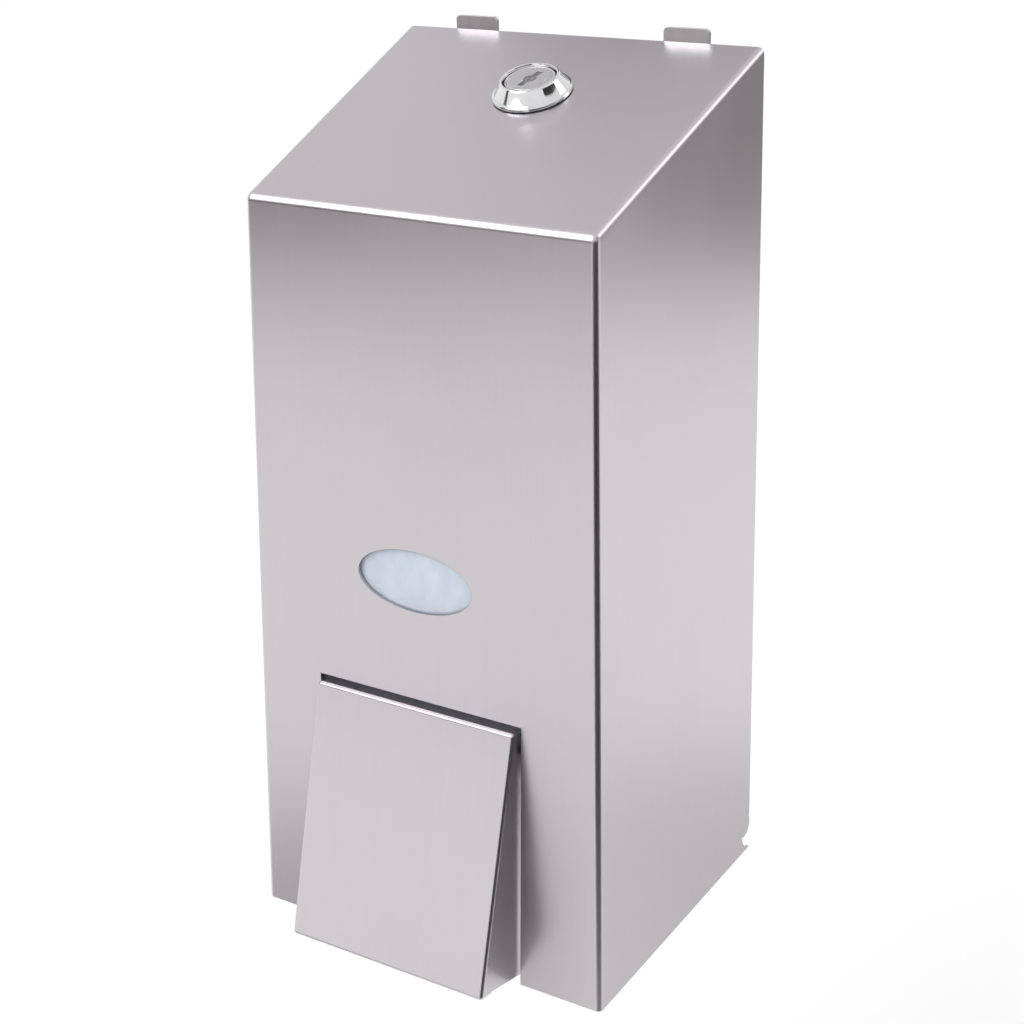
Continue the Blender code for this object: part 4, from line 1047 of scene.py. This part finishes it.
def make_hinge_pins():
    """Shouldered pins with a softly domed head, seen in the cover's lower rear notches."""
    head_in, head_out = HINGE_X - PIN_HEAD_INNER, HINGE_X - PIN_HEAD_OUTER
    shank_end = HINGE_X - EAR_INSET - EAR_SHEET - GAP
    collar, collar_end = PIN_RADIUS + PIN_COLLAR, shank_end - PIN_COLLAR_LENGTH
    head = PIN_HEAD_RADIUS
    dome = [(0.0, head_out), (head * 0.5, head_out - 0.00003), (head - 0.0007, head_out - 0.00012)]
    rim = arc((head - 0.0005, head_out - 0.0006), 0.0005, 75, 0, 4)
    shank = [(head, head_in), (PIN_RADIUS, head_in), (PIN_RADIUS, shank_end), (collar, shank_end),
             (collar, collar_end), (0.0, collar_end)]
    profile = dome + rim + shank
    for label, side in (("left", -1), ("right", 1)):
        pin = new_object("pivot_pin_" + label, lathe("pivot_pin_" + label, profile, 64))
        settle(pin, along_axis((0.0, HINGE_Y, HINGE_Z), (side, 0.0, 0.0)))
        smooth(pin, 42.0)
        dress(pin, "zinc", "wall_unit", "hinge_pin_" + label)


def make_rivets():
    """Rivets through the back plate, with low domed heads on the inside."""
    head_base = 2 * (PLATE_WALL + GAP)
    dome_base = head_base + RIVET_HEAD_STEP
    angles = [math.radians(a) for a in range(0, 91, 15)]
    dome = [(RIVET_HEAD_RADIUS * math.sin(a), dome_base + RIVET_DOME_HEIGHT * math.cos(a)) for a in angles]
    profile = dome + [(RIVET_HEAD_RADIUS, head_base), (RIVET_RADIUS, head_base), (RIVET_RADIUS, RIVET_FOOT),
                      (0.0, RIVET_FOOT)]
    for name, (x, height) in rivet_places().items():
        rivet = new_object(name + "_domed", lathe(name + "_domed", profile, 40))
        settle(rivet, along_axis((x, 0.0, BASE + height), (0.0, -1.0, 0.0)))
        smooth(rivet, 42.0)
        dress(rivet, "zinc", "wall_unit", name)


# ---------------------------------------------------------------- tank, cap and spring

def seam_band(low, high):
    """A thin band round the tank's middle, a little larger than the tank."""
    middle = (low.y + high.y) / 2
    band = rounded_block("seam_tool", (low.x, middle - SEAM_HALF_WIDTH, low.z),
                         (high.x, middle + SEAM_HALF_WIDTH, high.z), TANK_ROUND, TANK_ROUND_STEPS)
    band.transform(scale_about((low + high) / 2, 1.0 + SEAM_GROWTH, 1.0, 1.0 + SEAM_GROWTH))
    return band


def level_mark(low, high, index):
    """One of the raised lines on the tank's front, long and short in turn."""
    height = low.z + (high.z - low.z) * (LEVEL_MARK_START + LEVEL_MARK_STEP * index)
    right = high.x - LEVEL_MARK_INSET
    left = right - LEVEL_MARK_LENGTHS[index % 2]
    return block("mark_tool", (left, low.y - LEVEL_MARK_RELIEF, height - LEVEL_MARK_HALF),
                 (right, low.y + LEVEL_MARK_ROOT, height + LEVEL_MARK_HALF))


def make_tank():
    """A blow moulded tank: rounded walls, a raised parting line, level marks, a neck and a spout."""
    low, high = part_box("tank")
    high.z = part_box("cap_seal")[0].z - GAP - NECK_LENGTH
    low.z = BASE + TANK_BOTTOM
    spout_end = BASE + SPOUT_END
    tank = new_object("moulded_tank", block("moulded_tank", low, high))
    bend(tank, TANK_ROUND, TANK_ROUND_STEPS)
    boolean(tank, seam_band(low, high), "UNION")
    for index in range(LEVEL_MARKS):
        boolean(tank, level_mark(low, high, index), "UNION")
    boolean(tank, upright_rod("neck_tool", NECK_Y, high.z - TANK_JOIN, high.z + NECK_LENGTH, NECK_RADIUS),
            "UNION")
    boolean(tank, upright_rod("spout_tool", SPOUT_Y, low.z + TANK_JOIN, spout_end, SPOUT_RADIUS), "UNION")
    inset = Vector((TANK_WALL, TANK_WALL, TANK_WALL))
    boolean(tank, rounded_block("cavity_tool", low + inset, high - inset, TANK_INNER_ROUND, TANK_INNER_STEPS))
    boolean(tank, upright_rod("neck_bore_tool", NECK_Y, high.z - CUTTER_REACH, high.z + NECK_CUTTER_TOP,
                              NECK_RADIUS - TANK_WALL))
    boolean(tank, upright_rod("spout_bore_tool", SPOUT_Y, low.z + CUTTER_REACH, spout_end - CUTTER_REACH,
                              SPOUT_RADIUS - TANK_WALL))
    settle(tank)
    clean(tank.data, flat=0.2)
    smooth(tank)
    ease_edges(tank, TANK_EDGE)
    settle(tank)
    dress(tank, "tank", "wall_unit", "tank")


def scale_about(centre, x, y, z):
    return Matrix.Translation(centre) @ Matrix.Diagonal((x, y, z, 1.0)) @ Matrix.Translation(-centre)


def make_filler_cap():
    """A screw cap with grip ribs and a shallow dish in its top."""
    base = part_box("cap_seal")[0].z - GAP - NECK_LENGTH
    inner, outer = NECK_RADIUS + CAP_CLEARANCE, NECK_RADIUS + CAP_WALL
    ceiling, top, skirt = NECK_LENGTH + CAP_CEILING, NECK_LENGTH + CAP_TOP, CAP_SKIRT
    dish = top - CAP_DISH

    def grip(angle, radius, height):
        if radius < outer - 0.0002 or height > top - 0.0011:
            return radius
        return radius - CAP_RIB_DEPTH * (0.5 - 0.5 * math.cos(CAP_RIBS * angle)) ** 2

    profile = [(0.0, dish), (outer - 0.0042, dish), (outer - 0.0037, top - 0.0001),
               (outer - 0.0032, top), (outer - 0.001, top), (outer - 0.0005, top - 0.00015),
               (outer - 0.00015, top - 0.0005), (outer, top - 0.001), (outer, top - 0.0012),
               (outer, skirt + 0.0014), (outer, skirt + 0.0003), (outer - 0.0003, skirt), (inner, skirt),
               (inner, ceiling), (0.0, ceiling)]
    cap = new_object("ribbed_cap", lathe("ribbed_cap", profile, CAP_STEPS, shape=grip))
    settle(cap, Matrix.Translation((0.0, NECK_Y, base)))
    smooth(cap, 42.0)
    dress(cap, "white", "filler_cap", "filler_cap")


def coil_mesh(start, end, centre_z):
    """A wire coil along Y, whose turns lie closer together at both ends."""
    along = Vector((0.0, 1.0, 0.0))
    count = int(COIL_TURNS * COIL_STEPS)
    bm = bmesh.new()
    rings = []
    for i in range(count + 1):
        share = i / count
        eased = share - COIL_CLOSING * math.sin(4.0 * math.pi * share) / (4.0 * math.pi)
        angle = 2.0 * math.pi * COIL_TURNS * share
        outward = Vector((math.cos(angle), 0.0, math.sin(angle)))
        middle = Vector((0.0, start + (end - start) * eased, centre_z)) + outward * SPRING_RADIUS
        ring = []
        for k in range(COIL_SIDES):
            around = 2.0 * math.pi * k / COIL_SIDES
            reach = outward * math.cos(around) + along * math.sin(around)
            ring.append(bm.verts.new(middle + reach * SPRING_WIRE))
        rings.append(ring)
    for near, far in zip(rings, rings[1:]):
        for k in range(COIL_SIDES):
            j = (k + 1) % COIL_SIDES
            bm.faces.new((near[k], near[j], far[j], far[k]))
    bm.faces.new(rings[0])
    bm.faces.new(list(reversed(rings[-1])))
    return outward_mesh("pump_coil", bm)


def make_spring():
    """The return spring, a fixed coil riding on the wall unit."""
    start, end = PUMP_FRONT_Y - COIL_REAR_OFFSET, BUTTON_CENTRE_Y + COIL_FRONT_OFFSET
    centre_z = BASE + PUMP_HEIGHT
    spring = new_object("pump_coil", coil_mesh(start, end, centre_z))
    smooth(spring, 50.0)
    dress(spring, "spring", "wall_unit", "return_spring")
    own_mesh(spring)


# ---------------------------------------------------------------- screws and the other CAD parts

def cross_recess(obj, matrix, size, depth):
    """Two crossed slots, the recess of a Phillips head, along the matrix's X and Y and down its -Z."""
    for turned in (0.0, 90.0):
        half = size * RECESS_SHARE
        tool = block("recess_tool", (-size, -half, -depth), (size, half, depth))
        boolean(obj, tool, matrix=matrix @ Matrix.Rotation(math.radians(turned), 4, "Z"))


def make_screw(name, body, tip, out, recess):
    screw = refined(name, name + "_cross")
    cross_recess(screw, along_axis(tip, out), recess, RECESS_DEPTH)
    settle(screw)
    smooth(screw)
    ease_edges(screw, SCREW_EDGE)
    settle(screw)
    dress(screw, "zinc", body, name)


def make_screws():
    """Pan heads with a cross recess: the cam's screw and the two in the strap's feet."""
    cam_tip = LOCK_FOOT - LOCK_OUT * (CAM_DEPTH + CAM_SHEET + GAP + CAM_SCREW_HEAD)
    make_screw("cam_screw", "lock_plug", cam_tip, -LOCK_OUT, CAM_SCREW_RECESS)
    for name in ("strap_screw_left", "strap_screw_right"):
        low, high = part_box(name)
        tip = Vector(((low.x + high.x) / 2, (low.y + high.y) / 2, low.z))
        make_screw(name, "wall_unit", tip, (0, 0, -1), STRAP_SCREW_RECESS)


def refined(node, name):
    """A copy of a CAD node's surface with its triangles joined into clean faces."""
    mesh = NODES[node].data.copy()
    mesh.name = name
    clean(mesh, flat=0.3)
    obj = new_object(name, mesh)
    smooth(obj)
    return obj


EASED_NODES = {
    "zinc": {"wall_unit": ["hinge_ear_left", "hinge_ear_right", "lock_catch", "tank_shelf", "pump_strap"],
             "cover": ["hinge_plate_left", "hinge_plate_right", "lever_bracket_left", "lever_bracket_right",
                       "lever_rod"],
             "lock_plug": ["lock_cam"]},
    "white": {"wall_unit": ["pump_body", "pump_end_cap", "outlet_tube"], "push_plate": ["pusher_block"],
              "piston": ["pump_piston", "pump_button"]},
    "rubber": {"wall_unit": ["tank_grommet", "nozzle_tip"], "filler_cap": ["cap_seal"],
               "piston": ["piston_seal"]},
    "spring": {"wall_unit": ["inlet_ball", "outlet_ball"], "cover": ["rod_clip_left", "rod_clip_right"]},
}
EASE_WIDTH = {"zinc": 0.00012, "white": 0.0002, "rubber": 0.00015, "spring": 0.00006}


def make_eased_parts():
    for finish, groups in EASED_NODES.items():
        for body, names in groups.items():
            for node in names:
                piece = refined(node, node + "_finished")
                ease_edges(piece, EASE_WIDTH[finish])
                settle(piece)
                dress(piece, finish, body, node)


# ---------------------------------------------------------------- scene

make_camera()
make_studio()
make_cover()
make_push_plate()
make_window()
make_lock_body()
make_lock_nut()
make_lock_plug()
make_back_plate()
make_hinge_pins()
make_rivets()
make_tank()
make_filler_cap()
make_spring()
make_screws()
make_eased_parts()
